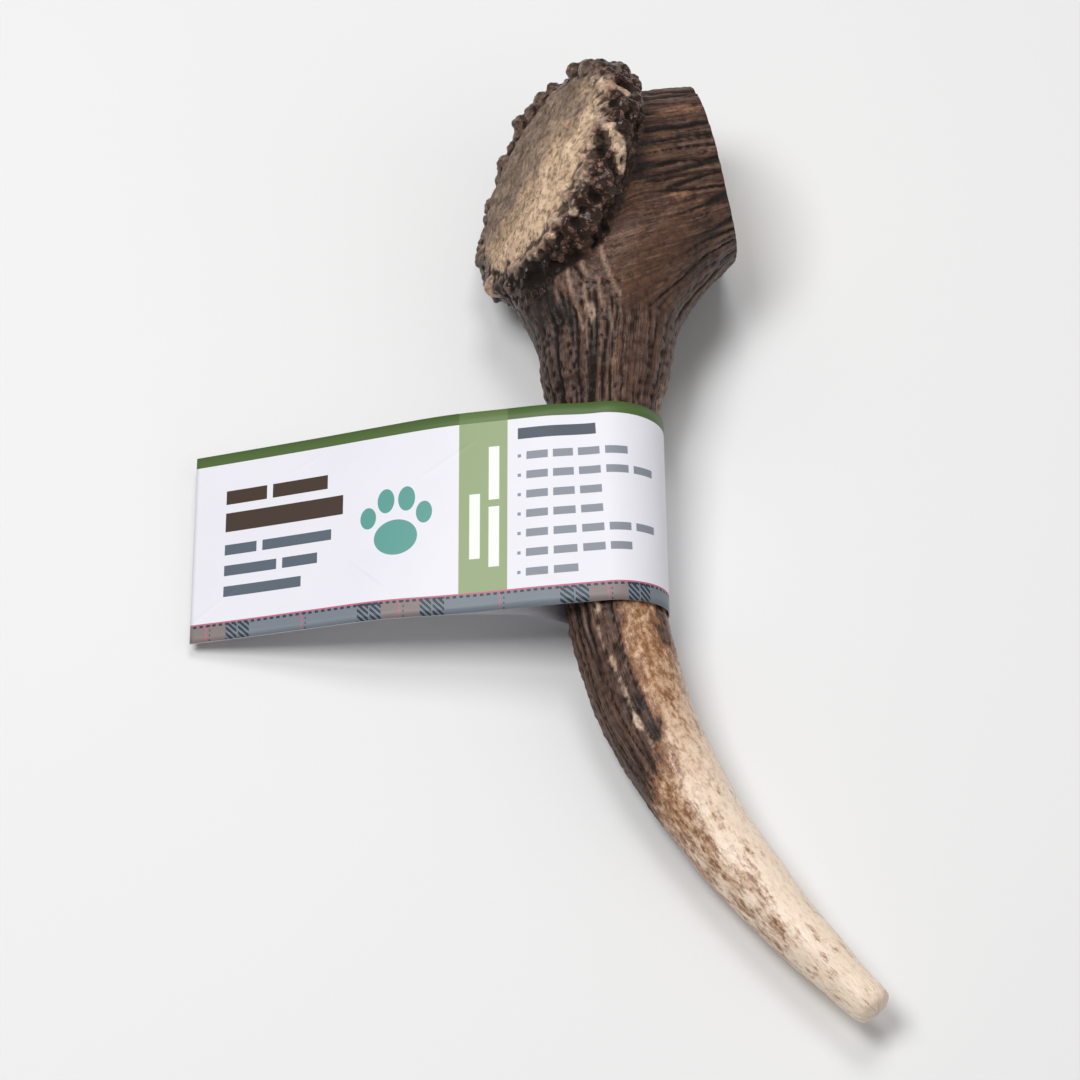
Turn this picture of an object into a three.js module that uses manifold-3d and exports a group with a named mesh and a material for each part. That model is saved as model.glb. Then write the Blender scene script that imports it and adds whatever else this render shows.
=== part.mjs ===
// The base of a shed deer antler with its brow tine, sawn off as a chew, and the paper flag label round it.
// Millimetres, +Z up, lying on the table z = 0. The tine's tip points to -Y, the beam stub to +X and the
// shed face (the seal) to -X. The origin is on the table under the middle of the whole object's box.

import * as THREE from 'three';
import Module from 'manifold-3d';
import { mergeVertices } from 'three/addons/utils/BufferGeometryUtils.js';

const wasm = await Module();
wasm.setup();

// The middle of the box, in the frame that the places below are given in
const BOX_MIDDLE = new THREE.Vector3(-2.17, -0.46, -0.22);

// Burr: the beaded ring round the seal
const BURR_MIDDLE = new THREE.Vector3(3.7, 77.9, 26.62);
const SEAL_NORMAL = new THREE.Vector3(-0.85, 0.17, 0.495).normalize();
// Distance behind the burr's middle and radius, from the seal's dome to the neck behind the ring
const BURR_PROFILE = [
  [-6.5, 4],
  [-6.3, 9],
  [-5.9, 14.5],
  [-4.8, 19.8],
  [-3.0, 23.0],
  [-0.8, 24.7],
  [2.2, 25.0],
  [5.0, 24.0],
];
const SEAL_LUMPS = 0.6; // height of the low swells of the seal
const SEAL_LUMP_SIZE = 1.9;
// Rows of beads: distance behind the middle, radius of the row, number of beads, bead radius
const BEAD_ROWS = [
  [-0.2, 23.6, 21, 4.1],
  [3.1, 23.6, 18, 4.4],
  [5.8, 21.6, 13, 3.6],
];

// Beam stub, sawn through just past the tine
const SAWN_MIDDLE = new THREE.Vector3(36.0, 84.6, 19.7);
const SAWN_NORMAL = new THREE.Vector3(0.97, 0.24, 0.035).normalize();
const BEAM_DIRECTION = new THREE.Vector3(0.98, 0.16, -0.12).normalize();
const BEAM_RADIUS = 19.1;
const BEAM_RIDGES = 15;
const BEAM_RIDGE = 0.6;

// Brow tine: x of its left and right side, y, z of the middle, half depth, from inside the beam to the tip
const TINE = [
  [-1, 48, 78.0, 21.5, 16.0],
  [-5, 44.5, 66.0, 21.4, 16.6],
  [-6.4, 38.2, 58.6, 21.2, 16.4],
  [-5.9, 33.2, 52.4, 20.8, 15.7],
  [-3.4, 29.6, 46.6, 20.2, 14.8],
  [-0.7, 27.8, 40.5, 19.5, 13.9],
  [0.3, 26.5, 32.5, 18.7, 13.0],
  [2.5, 24.4, 24.5, 17.5, 10.9],
  [3.3, 24.0, 3.0, 14.9, 10.3],
  [5.1, 24.7, -14.0, 12.6, 9.8],
  [7.6, 27.6, -27.5, 11.0, 9.8],
  [13.4, 31.8, -42.9, 9.5, 9.4],
  [24.55, 40.25, -61.6, 8.4, 8.3],
  [37.6, 50.6, -79.0, 8.3, 6.8],
  [52.1, 61.9, -95.1, 9.0, 5.1],
  [59.3, 67.7, -102.6, 9.5, 4.3],
  [61.7, 68.1, -104.2, 9.6, 3.3],
];
const TINE_RIDGES = 14;
const TINE_RIDGE = 0.35;
const FORK_RIDGE = 0.75; // ridges at the fork; they soften towards the label
const RIDGE_SIDES = 3; // facets across one ridge and its groove
const TIP_DOME = 1.1;
const FORK_Y = 44.6; // the tine parts from the base here
const FORK_STATION = 5; // station up to which the sections stay parallel, as the tine flares into the beam
const GAP = 0.3; // between pieces that meet

// Paper label: a strip laid round the tine, its two ends stuck together as a flag
const LABEL_HEIGHT = 43.4;
const LABEL_PLY = 0.3;
const LABEL_TOP = new THREE.Vector3(13.4, 22.3, 28.9); // far edge, on top of the tine
const LABEL_FALL = 0.131; // slope of the label's top line towards the tip, radians
const LABEL_SKEW = 0.022; // the flag is stuck slightly askew
const LABEL_LEAN = [0.08, 0.18]; // lean of the far and near edges round the tine, radians
const LABEL_LOOP = [12.1, 10.8]; // radius of the loop at the far and near edges, in the paper's middle
const LOOP_ACROSS = [0, 2.1]; // middle of the loop at the far and near edges
const LOOP_DROP = [0, 0.6];
// The flag from its free end to the tine: place across, then the far and near edges' height
const FLAG = [
  [-85, -25.7, -20.7],
  [-71.6, -20.7, -16.9],
  [-58.9, -15.9, -12.9],
  [-46.3, -10.9, -9.1],
  [-33, -5.9, -7.2],
  [-21.5, -3.0, -5.4],
  [-12.3, -1.1, -3.4],
];
const FLAG_JOINED = 5; // columns of the flag where both plies are stuck together
const PLY_LAP = 0.6; // how far apart the stuck plies lie, in plies: they fuse into one sheet
// The back ply from the flag to the tine
const BACK_PLY = [
  [-24, -6.8, -7.7],
  [-17.5, -9.6, -8.6],
];
const FRONT_LEAVES = 0.6 * Math.PI; // where the plies leave the tine, round from its right side
const BACK_LEAVES = 1.14 * Math.PI;
const LOOP_STEPS = 22;
const LABEL_ROWS = 3;

// Turns a closed three.js geometry into a solid
function solid(geometry) {
  geometry.deleteAttribute('normal');
  geometry.deleteAttribute('uv');
  const merged = mergeVertices(geometry);
  return new wasm.Manifold(new wasm.Mesh({
    numProp: 3,
    vertProperties: merged.attributes.position.array,
    triVerts: new Uint32Array(merged.index.array),
  }));
}

// Turns a solid back into a named mesh with its own material
function piece(name, body, color, roughness) {
  const { vertProperties, triVerts } = body.getMesh();
  const geometry = new THREE.BufferGeometry();
  geometry.setAttribute('position', new THREE.BufferAttribute(vertProperties, 3));
  geometry.setIndex(new THREE.BufferAttribute(triVerts, 1));
  geometry.computeVertexNormals();
  const mesh = new THREE.Mesh(geometry, new THREE.MeshStandardMaterial({ color, roughness, metalness: 0 }));
  mesh.name = name;
  return mesh;
}

// Repeatable scatter between -1 and 1
function scatter(seed) {
  const value = Math.sin(seed * 127.1) * 43758.5453;
  return 2 * (value - Math.floor(value)) - 1;
}

// One closed section across the direction, with ridges standing out of an ellipse
function ring(middle, direction, halfWidth, halfDepth, ridges, ridge, turn) {
  const side = new THREE.Vector3(0, 0, 1).cross(direction).normalize();
  const up = direction.clone().cross(side);
  const count = ridges * RIDGE_SIDES;
  const points = [];
  for (let k = 0; k < count; k += 1) {
    const angle = (2 * Math.PI * k) / count;
    const strength = 0.75 + 0.25 * scatter(Math.floor(k / RIDGE_SIDES));
    const swell = ridge * strength * Math.cos(ridges * angle + turn);
    points.push(middle.clone()
      .addScaledVector(side, (halfWidth + swell) * Math.cos(angle))
      .addScaledVector(up, (halfDepth + swell) * Math.sin(angle)));
  }
  return points;
}

// Skins a row of sections and closes each end with a fan to a middle point. Sides from mirrorFrom on are
// split along their other diagonal: on a thin sheet they are the second face, and then match the first.
function loft(rings, startPoint, endPoint, mirrorFrom = Infinity) {
  const sides = rings[0].length;
  const points = [...rings.flat(), startPoint, endPoint];
  const start = points.length - 2;
  const end = points.length - 1;
  const last = (rings.length - 1) * sides;
  const index = [];
  for (let k = 0; k < sides; k += 1) {
    const next = (k + 1) % sides;
    index.push(start, next, k);
    index.push(end, last + k, last + next);
    for (let r = 0; r < last; r += sides) {
      const [a, b, c, d] = [r + k, r + next, r + sides + next, r + sides + k];
      index.push(...(k < mirrorFrom ? [a, b, c, a, c, d] : [a, b, d, b, c, d]));
    }
  }
  const geometry = new THREE.BufferGeometry().setFromPoints(points);
  geometry.setIndex(index);
  return geometry;
}

// Burr, neck and beam in one skin: sections square to the seal's normal, turning towards the beam
function beamAndBurr() {
  const [neckDistance, neckRadius] = BURR_PROFILE.at(-1);
  const inward = SEAL_NORMAL.clone().negate();
  const burrPoint = (distance) => BURR_MIDDLE.clone().addScaledVector(inward, distance);
  const beamEnd = SAWN_MIDDLE.clone().addScaledVector(BEAM_DIRECTION, 8);
  const axis = new THREE.CubicBezierCurve3(
    burrPoint(neckDistance),
    burrPoint(neckDistance + 6),
    beamEnd.clone().addScaledVector(BEAM_DIRECTION, -22),
    beamEnd,
  );
  const rings = BURR_PROFILE.map(([distance, radius]) => {
    const points = ring(burrPoint(distance), inward, radius, radius, BEAM_RIDGES, BEAM_RIDGE, 0);
    const lumps = distance < -1 ? SEAL_LUMPS : 0;
    return points.map((point) => {
      const across = point.y / SEAL_LUMP_SIZE;
      const up = point.z / SEAL_LUMP_SIZE;
      return point.addScaledVector(inward, lumps * Math.sin(across) * Math.cos(up + 0.4 * across));
    });
  });
  const steps = 9;
  for (let k = 1; k <= steps; k += 1) {
    const t = k / steps;
    const radius = BEAM_RADIUS + (neckRadius - BEAM_RADIUS) * (1 - t) ** 1.5;
    rings.push(ring(axis.getPoint(t), axis.getTangent(t), radius, radius, BEAM_RIDGES, BEAM_RIDGE, 0));
  }
  return solid(loft(rings, burrPoint(BURR_PROFILE[0][0] - 0.2), beamEnd));
}

// The beads of the burr, each a rounded knob of its own size, slightly off its place in the row
function beads() {
  const across = new THREE.Vector3(0, 0, 1).cross(SEAL_NORMAL).normalize();
  const along = SEAL_NORMAL.clone().cross(across);
  return BEAD_ROWS.flatMap(([distance, rowRadius, count, beadRadius], row) => (
    Array.from({ length: count }, (_, k) => {
      const seed = 40 * row + k + 1;
      const angle = (2 * Math.PI * (k + 0.25 * scatter(seed))) / count;
      const size = beadRadius * (1 + 0.22 * scatter(seed + 0.31));
      const reach = rowRadius - 0.3 + 0.6 * scatter(seed + 0.57);
      const back = distance + 0.7 * scatter(seed + 0.83);
      const knob = new THREE.IcosahedronGeometry(size, 1);
      knob.rotateZ(seed);
      knob.scale(1, 1, 1.15);
      knob.lookAt(SEAL_NORMAL);
      const place = BURR_MIDDLE.clone()
        .addScaledVector(SEAL_NORMAL, -back)
        .addScaledVector(across, reach * Math.cos(angle))
        .addScaledVector(along, reach * Math.sin(angle));
      knob.translate(place.x, place.y, place.z);
      return solid(knob);
    })
  ));
}

// The tine from inside the beam to its blunt tip, its ridges dying out towards the polished end
function tine() {
  const path = new THREE.CatmullRomCurve3(TINE.map(([left, right, y, z]) => (
    new THREE.Vector3((left + right) / 2, y, z)
  )));
  const widths = new THREE.CatmullRomCurve3(TINE.map(([left, right, , , depth]) => (
    new THREE.Vector3((right - left) / 2, depth, 0)
  )));
  const fork = FORK_STATION / (TINE.length - 1);
  const steps = 2 * (TINE.length - 1);
  const rings = [];
  for (let k = 0; k <= steps; k += 1) {
    const t = k / steps;
    const width = widths.getPoint(t);
    const soften = THREE.MathUtils.smoothstep(t, fork, 0.44);
    const ridge = THREE.MathUtils.lerp(FORK_RIDGE, TINE_RIDGE, soften) * Math.min(1, 2.6 * (1 - t));
    const direction = path.getTangent(Math.max(t, fork));
    rings.push(ring(path.getPoint(t), direction, width.x, width.y, TINE_RIDGES, ridge, 5 * t));
  }
  const tip = path.getPoint(1).addScaledVector(path.getTangent(1), TIP_DOME);
  return solid(loft(rings, path.getPoint(0), tip));
}

// A box that covers all y on one side of a value, and everything in x and z
function beyondY(value, sign) {
  const reach = 400;
  const box = new THREE.BoxGeometry(reach, reach, reach);
  box.translate(0, value + (sign * reach) / 2, 0);
  return solid(box);
}

// A box that covers everything past the saw cut
function sawWaste() {
  const reach = 90;
  const box = new THREE.BoxGeometry(reach, reach, reach);
  box.translate(0, 0, reach / 2);
  box.lookAt(SAWN_NORMAL);
  box.translate(SAWN_MIDDLE.x, SAWN_MIDDLE.y, SAWN_MIDDLE.z);
  return solid(box);
}

// A point of the label, from its place across, its height and how far it is from the far edge (0 to 1)
function labelPoint({ x, y }, down) {
  const onTine = THREE.MathUtils.smoothstep(x, FLAG.at(-3)[0], FLAG.at(-1)[0]);
  const lean = THREE.MathUtils.lerp(LABEL_FALL, THREE.MathUtils.lerp(...LABEL_LEAN, down), onTine);
  const fall = new THREE.Vector3(0, -Math.cos(LABEL_FALL), -Math.sin(LABEL_FALL));
  return new THREE.Vector3(x, LABEL_SKEW * x - y * Math.sin(lean), y * Math.cos(lean))
    .add(LABEL_TOP)
    .addScaledVector(fall, down * LABEL_HEIGHT);
}

// One ply along a line given for the far edge and for the near edge
function ply(farLine, nearLine) {
  const halfPly = (line, k) => {
    const along = line[Math.min(k + 1, line.length - 1)].clone().sub(line[Math.max(k - 1, 0)]).normalize();
    return new THREE.Vector2(-along.y, along.x).multiplyScalar(LABEL_PLY / 2);
  };
  const rows = Array.from({ length: LABEL_ROWS + 1 }, (_, row) => row / LABEL_ROWS);
  const rings = farLine.map((far, k) => {
    const face = (sign) => rows.map((down) => {
      const farPoint = far.clone().addScaledVector(halfPly(farLine, k), sign);
      const nearPoint = nearLine[k].clone().addScaledVector(halfPly(nearLine, k), sign);
      return labelPoint(farPoint.lerp(nearPoint, down), down);
    });
    return [...face(1), ...face(-1).reverse()];
  });
  const middle = (points) => points[0].clone().add(points[LABEL_ROWS + 1]).multiplyScalar(0.5);
  return solid(loft(rings, middle(rings[0]), middle(rings.at(-1)), LABEL_ROWS + 1));
}

// Front ply from the flag's free end to the top of the tine, back ply from there round under the tine
function label() {
  const onLoop = (edge, angle) => new THREE.Vector2(
    LOOP_ACROSS[edge] + LABEL_LOOP[edge] * Math.cos(angle),
    LABEL_LOOP[edge] * (Math.sin(angle) - 1) - LOOP_DROP[edge],
  );
  const arc = (edge, from, to, steps) => Array.from({ length: steps + 1 }, (_, k) => (
    onLoop(edge, from + ((to - from) * k) / steps)
  ));
  const flag = (edge, drop) => FLAG.map((column) => new THREE.Vector2(column[0], column[1 + edge] - drop));
  const top = Math.PI / 2;
  const front = (edge) => [...flag(edge, 0), ...arc(edge, FRONT_LEAVES, top, 2)];
  const back = (edge) => [
    ...flag(edge, PLY_LAP * LABEL_PLY).slice(0, FLAG_JOINED),
    ...BACK_PLY.map((column) => new THREE.Vector2(column[0], column[1 + edge])),
    ...arc(edge, BACK_LEAVES, 2 * Math.PI + top, LOOP_STEPS),
  ];
  return ply(front(0), front(1)).add(ply(back(0), back(1)));
}

// The beads close over small hollows between them: only the outer skin is kept
const grown = wasm.Manifold.union([beamAndBurr(), tine(), ...beads()]);
const outer = grown.decompose().sort((a, b) => b.volume() - a.volume())[0];
const antler = outer.subtract(sawWaste());
const base = antler.intersect(beyondY(FORK_Y + GAP / 2, 1));
const browTine = antler.intersect(beyondY(FORK_Y - GAP / 2, -1));

const chew = new THREE.Group();
chew.add(piece('beam_base', base, 0x4f3b33, 0.6));
chew.add(piece('brow_tine', browTine, 0x9c7a5c, 0.5));
chew.add(piece('paper_label', label(), 0xf0eef6, 0.45));
chew.position.copy(BOX_MIDDLE).negate();

export default chew;
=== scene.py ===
"""An antler dog chew: the base of a shed antler with its brow tine, and the paper flag label round it."""
from itertools import product

import bmesh
import bpy
import numpy as np
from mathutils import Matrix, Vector


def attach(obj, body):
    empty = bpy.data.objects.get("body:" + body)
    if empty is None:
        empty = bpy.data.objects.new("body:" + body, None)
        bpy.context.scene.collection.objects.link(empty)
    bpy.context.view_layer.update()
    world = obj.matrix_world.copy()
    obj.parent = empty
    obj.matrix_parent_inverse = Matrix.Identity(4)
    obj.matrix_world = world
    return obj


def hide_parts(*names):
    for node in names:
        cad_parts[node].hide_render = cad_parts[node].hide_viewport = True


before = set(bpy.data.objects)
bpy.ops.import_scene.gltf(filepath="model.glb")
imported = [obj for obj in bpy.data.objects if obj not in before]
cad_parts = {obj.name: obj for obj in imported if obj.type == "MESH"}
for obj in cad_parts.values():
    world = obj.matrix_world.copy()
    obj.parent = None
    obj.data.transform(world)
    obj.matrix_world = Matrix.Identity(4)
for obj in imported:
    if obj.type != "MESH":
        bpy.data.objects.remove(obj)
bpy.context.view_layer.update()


# The brow tine
# A deer antler's lowest branch: solid bone with a dark, ridged skin, worn smooth and pale towards its tip.
# It grows out of the beam in one piece with it, so its skin is made here and fused with the beam's below.

MM = 0.001
ORIGIN = np.array([-2.17, -0.46, -0.22])  # the frame's origin, in the frame of the places below, in mm

# x of the left and right side, y, z of the middle and half the depth, from inside the beam to the tip
TINE = np.array([
    [-1, 48, 78.0, 21.5, 16.0],
    [-5, 44.5, 66.0, 21.4, 16.6],
    [-6.4, 38.2, 58.6, 21.2, 16.4],
    [-5.9, 33.2, 52.4, 20.8, 15.7],
    [-3.4, 29.6, 46.6, 20.2, 14.8],
    [-0.7, 27.8, 40.5, 19.5, 13.9],
    [0.3, 26.5, 32.5, 18.7, 13.0],
    [2.2, 24.7, 24.5, 17.5, 11.2],
    [3.0, 24.3, 3.0, 14.9, 10.6],
    [4.9, 24.9, -14.0, 12.6, 10.0],
    [7.6, 27.6, -27.5, 11.0, 9.8],
    [13.4, 31.8, -42.9, 9.5, 9.4],
    [24.55, 40.25, -61.6, 8.4, 8.3],
    [37.6, 50.6, -79.0, 8.3, 6.8],
    [52.1, 61.9, -95.1, 9.0, 5.1],
    [59.3, 67.7, -102.6, 9.5, 4.3],
    [61.4, 68.7, -104.5, 9.6, 3.6],
])
FORK_STATION = 5  # up to here the sections stay parallel, as the tine flares into the beam
TIP_DOME = 1.1


def through(knots, values, at):
    """A smooth line through values at the knots: between two knots a cubic that meets both with the slope
    of the chords beside them."""
    slope = np.gradient(values, knots, axis=0)
    k = np.clip(np.searchsorted(knots, at, side="right") - 1, 0, len(knots) - 2)
    span = (knots[k + 1] - knots[k])[:, None]
    t = (at - knots[k])[:, None] / span
    ease = t * t * (3 - 2 * t)
    bend = t * (1 - t) * ((1 - t) * slope[k] - t * slope[k + 1]) * span
    return values[k] * (1 - ease) + values[k + 1] * ease + bend


def unit(v):
    """Each vector divided by its length."""
    return v / np.linalg.norm(v, axis=-1, keepdims=True)


def grid_faces(rows, columns):
    """Four corners of each face of a grid whose columns close round, and a fan to two end points that
    follow the grid's own points."""
    r, c = np.meshgrid(np.arange(rows - 1), np.arange(columns), indexing="ij")
    r, c, after = r.ravel(), c.ravel(), (c.ravel() + 1) % columns
    sides = np.stack([r * columns + c, r * columns + after, (r + 1) * columns + after, (r + 1) * columns + c], 1)
    ring = np.arange(columns)
    beyond = (ring + 1) % columns
    first = rows * columns
    last = (rows - 1) * columns
    caps = [np.stack([beyond, ring, np.full(columns, first)], 1),
            np.stack([last + ring, last + beyond, np.full(columns, first + 1)], 1)]
    return sides, np.concatenate(caps)


def tube(middles, directions, widths, depths, ends, sides=96):
    """Points of a skin of ellipses: at each middle a ring across its direction, width to the side and
    depth up, and a point that closes each end."""
    side = unit(np.cross([0, 0, 1], directions))
    up = np.cross(directions, side)
    angle = np.linspace(0, 2 * np.pi, sides, endpoint=False)
    rings = (middles[:, None] + side[:, None] * (widths[:, None] * np.cos(angle))[..., None]
             + up[:, None] * (depths[:, None] * np.sin(angle))[..., None])
    return np.concatenate([rings.reshape(-1, 3), ends]), grid_faces(len(middles), sides)


def mesh_of(name, points, faces):
    """A mesh object with these points, in mm, and these faces, in arrays of three or four corners each."""
    mesh = bpy.data.meshes.new(name)
    corners = [f for group in faces for f in group.tolist()]
    mesh.from_pydata(points * MM, [], corners)
    made = bpy.data.objects.new(name, mesh)
    bpy.context.scene.collection.objects.link(made)
    return made


steps = np.linspace(0, 1, 180)
knots = np.linspace(0, 1, len(TINE))
tine_line = through(knots, TINE, steps)
tine_path = np.stack([tine_line[:, :2].mean(1), tine_line[:, 2], tine_line[:, 3]], 1) - ORIGIN
tine_way = unit(np.gradient(tine_path, axis=0))
fork = np.searchsorted(steps, knots[FORK_STATION])
across_tine = np.where(np.arange(len(steps))[:, None] < fork, tine_way[fork], tine_way)
tine_width = (tine_line[:, 1] - tine_line[:, 0]) / 2
tine_depth = tine_line[:, 4]
tip = tine_path[-1] + tine_way[-1] * TIP_DOME
tine_skin = mesh_of("tine_skin", *tube(tine_path, across_tine, tine_width, tine_depth, [tine_path[0], tip]))


# The beam stub and the burr
# The main stem of the antler, sawn off just past the tine. At its root the burr, a collar of dark pearls,
# stands round the seal, the rough domed face that came away from the deer's skull when it was shed.

BURR_MIDDLE = np.array([3.7, 77.9, 26.62]) - ORIGIN
SEAL_NORMAL = unit(np.array([-0.85, 0.17, 0.495]))
# distance behind the burr's middle and radius, from the seal's dome to the neck behind the collar
BURR_PROFILE = np.array([
    [-6.7, 2], [-6.6, 8], [-6.3, 14], [-5.8, 18.6], [-5.1, 21.4], [-4.1, 23.6], [-2.6, 25.2], [-0.4, 26.2],
    [2.0, 26.2], [3.8, 25.0], [5.2, 23.0],
])
SAWN_MIDDLE = np.array([36.0, 84.6, 19.7]) - ORIGIN
SAWN_NORMAL = unit(np.array([0.97, 0.24, 0.035]))
BEAM_WAY = unit(np.array([0.98, 0.16, -0.12]))
BEAM_RADIUS = 19.0
NECK_REACH = 6  # how far the neck goes straight back from the collar before it turns along the beam
BEAM_REACH = 22

inward = -SEAL_NORMAL
neck_distance, neck_radius = BURR_PROFILE[-1]
beam_end = SAWN_MIDDLE + 8 * BEAM_WAY
handles = np.array([
    BURR_MIDDLE + neck_distance * inward,
    BURR_MIDDLE + (neck_distance + NECK_REACH) * inward,
    beam_end - BEAM_REACH * BEAM_WAY,
    beam_end,
])
t = np.linspace(0, 1, 60)[:, None]
turn = (handles[0] * (1 - t) ** 3 + handles[1] * 3 * t * (1 - t) ** 2
        + handles[2] * 3 * t * t * (1 - t) + handles[3] * t ** 3)
turn_radius = BEAM_RADIUS + (neck_radius - BEAM_RADIUS) * (1 - t[:, 0]) ** 1.5
collar = BURR_MIDDLE + BURR_PROFILE[:-1, :1] * inward
beam_path = np.concatenate([collar, turn])
beam_way = np.concatenate([np.tile(inward, (len(collar), 1)), unit(np.gradient(turn, axis=0))])
beam_radius = np.concatenate([BURR_PROFILE[:-1, 1], turn_radius])
seal_top = BURR_MIDDLE + (BURR_PROFILE[0, 0] - 0.1) * inward
beam_skin = mesh_of("beam_skin", *tube(beam_path, beam_way, beam_radius, beam_radius, [seal_top, beam_end]))

seal_side = unit(np.cross([0, 0, 1], SEAL_NORMAL))
seal_up = np.cross(SEAL_NORMAL, seal_side)

# The collar's ring: its radius and distance behind the middle, and its half thickness outward and back
RING_RADIUS, RING_BACK, RING_OUT, RING_DEPTH = 22.9, 0.8, 3.9, 4.5
LUMPS_ROUND, LUMP_SMALL, LUMP_LARGE = 36, 1.6, 2.9
PEARLS_ROUND, PEARLS_ACROSS = 80, 9
PEARL_SMALL, PEARL_LARGE = 0.75, 1.75
PEARLS_FROM, PEARLS_OVER = -96, 138  # where across the collar the rows of pearls begin, and how far they go
PEARL_GAPS, FAR_EDGE_GAPS = 0.12, 0.55  # share of pearls left out, and at the far side of the seal
# Rubbed pearls stand out pale: angle round the collar and across it, in degrees, and size
RUBBED = np.array([
    [88, -42, 1.4], [84, -26, 1.5], [80, -10, 1.45], [76, 6, 1.3], [73, 22, 1.2],
    [121, -84, 1.5], [116, -66, 1.6], [113, -48, 1.4], [112, -30, 1.2], [111, -12, 1.0],
    [-30, -55, 2.1], [62, -58, 1.1], [30, -64, 1.0], [46, -50, 0.9],
])
# Large knobs on the far rim and the low corner: angle round, distance from the axis and behind the middle, and size
KNOBS = np.array([
    [217, 26.4, -4.0, 2.4], [222, 25.4, -3.8, 2.0], [208, 25.2, -4.0, 2.0], [229, 25.2, -3.8, 1.9],
    [238, 24.0, -3.6, 2.2], [246, 24.0, -3.2, 1.7], [200, 24.8, -4.0, 2.0], [190, 24.5, -4.0, 2.0],
    [259, 23.8, -3.0, 1.7], [276, 24.2, -2.8, 1.8], [294, 24.0, -2.8, 1.7], [-37, 25.0, -2.8, 2.5],
    [-24, 25.4, -2.4, 2.0], [-12, 25.6, -2.4, 2.0], [140, 24.6, -3.0, 2.6], [152, 24.4, -3.4, 2.6],
    [166, 24.3, -3.8, 2.3], [-44, 26.9, 1.0, 2.3], [-37, 26.6, 3.4, 2.0],
])
# Hollows between the crests: angle round and across, half width and depth in mm
HOLLOWS = [(80, -52, 2.2, 1.3), (104, -48, 2.0, 1.2), (20, -30, 1.8, 0.5)]


def noise(p, seed):
    """Smooth noise from -1 to 1: a random direction at each corner of a cube grid, multiplied by the way
    from the corner to the point, and blended between the eight corners."""
    chance = np.random.default_rng(seed)
    order = chance.permutation(256)
    ways = unit(chance.normal(size=(256, 3)))
    cell = np.floor(p).astype(int)
    inside = p - cell
    ease = inside ** 3 * (inside * (inside * 6 - 15) + 10)
    total = np.zeros(p.shape[:-1])
    for corner in product((0, 1), repeat=3):
        x, y, z = np.moveaxis(cell + corner, -1, 0) & 255
        way = ways[order[(order[(order[x] + y) & 255] + z) & 255]]
        share = np.where(corner, ease, 1 - ease).prod(-1)
        total += share * (way * (inside - corner)).sum(-1)
    return 1.6 * total


def on_ring(angle, across):
    """The place on the collar at an angle round it and an angle across it: a ring with an oval section that
    swells and shrinks with noise, so that the pearls on it stand in bunches."""
    angle, across = np.radians(angle)[:, None], np.radians(across)[:, None]
    outward = seal_side * np.cos(angle) + seal_up * np.sin(angle)
    middle = BURR_MIDDLE + RING_BACK * inward + RING_RADIUS * outward
    skin = RING_DEPTH * np.sin(across) * inward + RING_OUT * np.cos(across) * outward
    return middle + skin * (1 + 0.20 * noise((middle + skin) / 5.5, 3)[:, None])


def ball(rings=6, sides=10):
    """Points and faces of a ball of radius 1: rings of latitude, and a point at each pole."""
    latitude = np.linspace(0, np.pi, rings + 2)[1:-1, None]
    longitude = np.linspace(0, 2 * np.pi, sides, endpoint=False)
    shell = np.stack(np.broadcast_arrays(
        np.sin(latitude) * np.cos(longitude), np.sin(latitude) * np.sin(longitude), np.cos(latitude)), -1)
    return np.concatenate([shell.reshape(-1, 3), [[0, 0, 1], [0, 0, -1]]]), grid_faces(rings, sides)


def pearls(places, sizes, chance):
    """A ball at each place, each with its own flattening in three directions."""
    points, (sides, caps) = ball()
    stretch = chance.uniform(0.8, 1.25, (len(sizes), 1, 3))
    shells = places[:, None] + points * stretch * sizes[:, None, None]
    first = (np.arange(len(sizes)) * len(points))[:, None, None]
    return shells.reshape(-1, 3), ((sides + first).reshape(-1, 4), (caps[:, ::-1] + first).reshape(-1, 3))


chance = np.random.default_rng(4)
lump_angle = 360 * (np.arange(LUMPS_ROUND) + chance.uniform(-0.3, 0.3, LUMPS_ROUND)) / LUMPS_ROUND
lump_places = on_ring(lump_angle, chance.uniform(-75, 35, LUMPS_ROUND))
lump_size = chance.uniform(LUMP_SMALL, LUMP_LARGE, LUMPS_ROUND)
lump_places -= 0.5 * lump_size[:, None] * unit(lump_places - BURR_MIDDLE)

round_it, across_it = np.meshgrid(np.arange(PEARLS_ROUND), np.arange(PEARLS_ACROSS), indexing="ij")
scatter = chance.uniform(-0.6, 0.6, (2, PEARLS_ROUND, PEARLS_ACROSS))
pearl_angle = ((round_it + 0.5 * (across_it % 2) + scatter[0]) * 360 / PEARLS_ROUND).ravel()
pearl_across = (PEARLS_FROM + PEARLS_OVER * (across_it + 0.5 + scatter[1]) / PEARLS_ACROSS).ravel()
pearl_size = PEARL_SMALL + (PEARL_LARGE - PEARL_SMALL) * chance.random(pearl_angle.size) ** 2.0
kept = chance.random(pearl_angle.size) > PEARL_GAPS
# On the far side of the seal few pearls reach its edge
far_edge = (np.abs(pearl_angle - 250) < 75) & (pearl_across < -42)
kept &= ~far_edge | (chance.random(pearl_angle.size) > FAR_EDGE_GAPS)
pearl_places = on_ring(pearl_angle[kept], pearl_across[kept])
pearl_places += chance.uniform(-0.5, 0.5, pearl_places.shape)
rubbed_places = on_ring(RUBBED[:, 0], RUBBED[:, 1])
rubbed_places += 0.5 * unit(rubbed_places - BURR_MIDDLE - RING_BACK * inward)
knob_angle = np.radians(KNOBS[:, :1])
knob_places = (BURR_MIDDLE + KNOBS[:, 2:3] * inward
               + KNOBS[:, 1:2] * (seal_side * np.cos(knob_angle) + seal_up * np.sin(knob_angle)))

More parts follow.
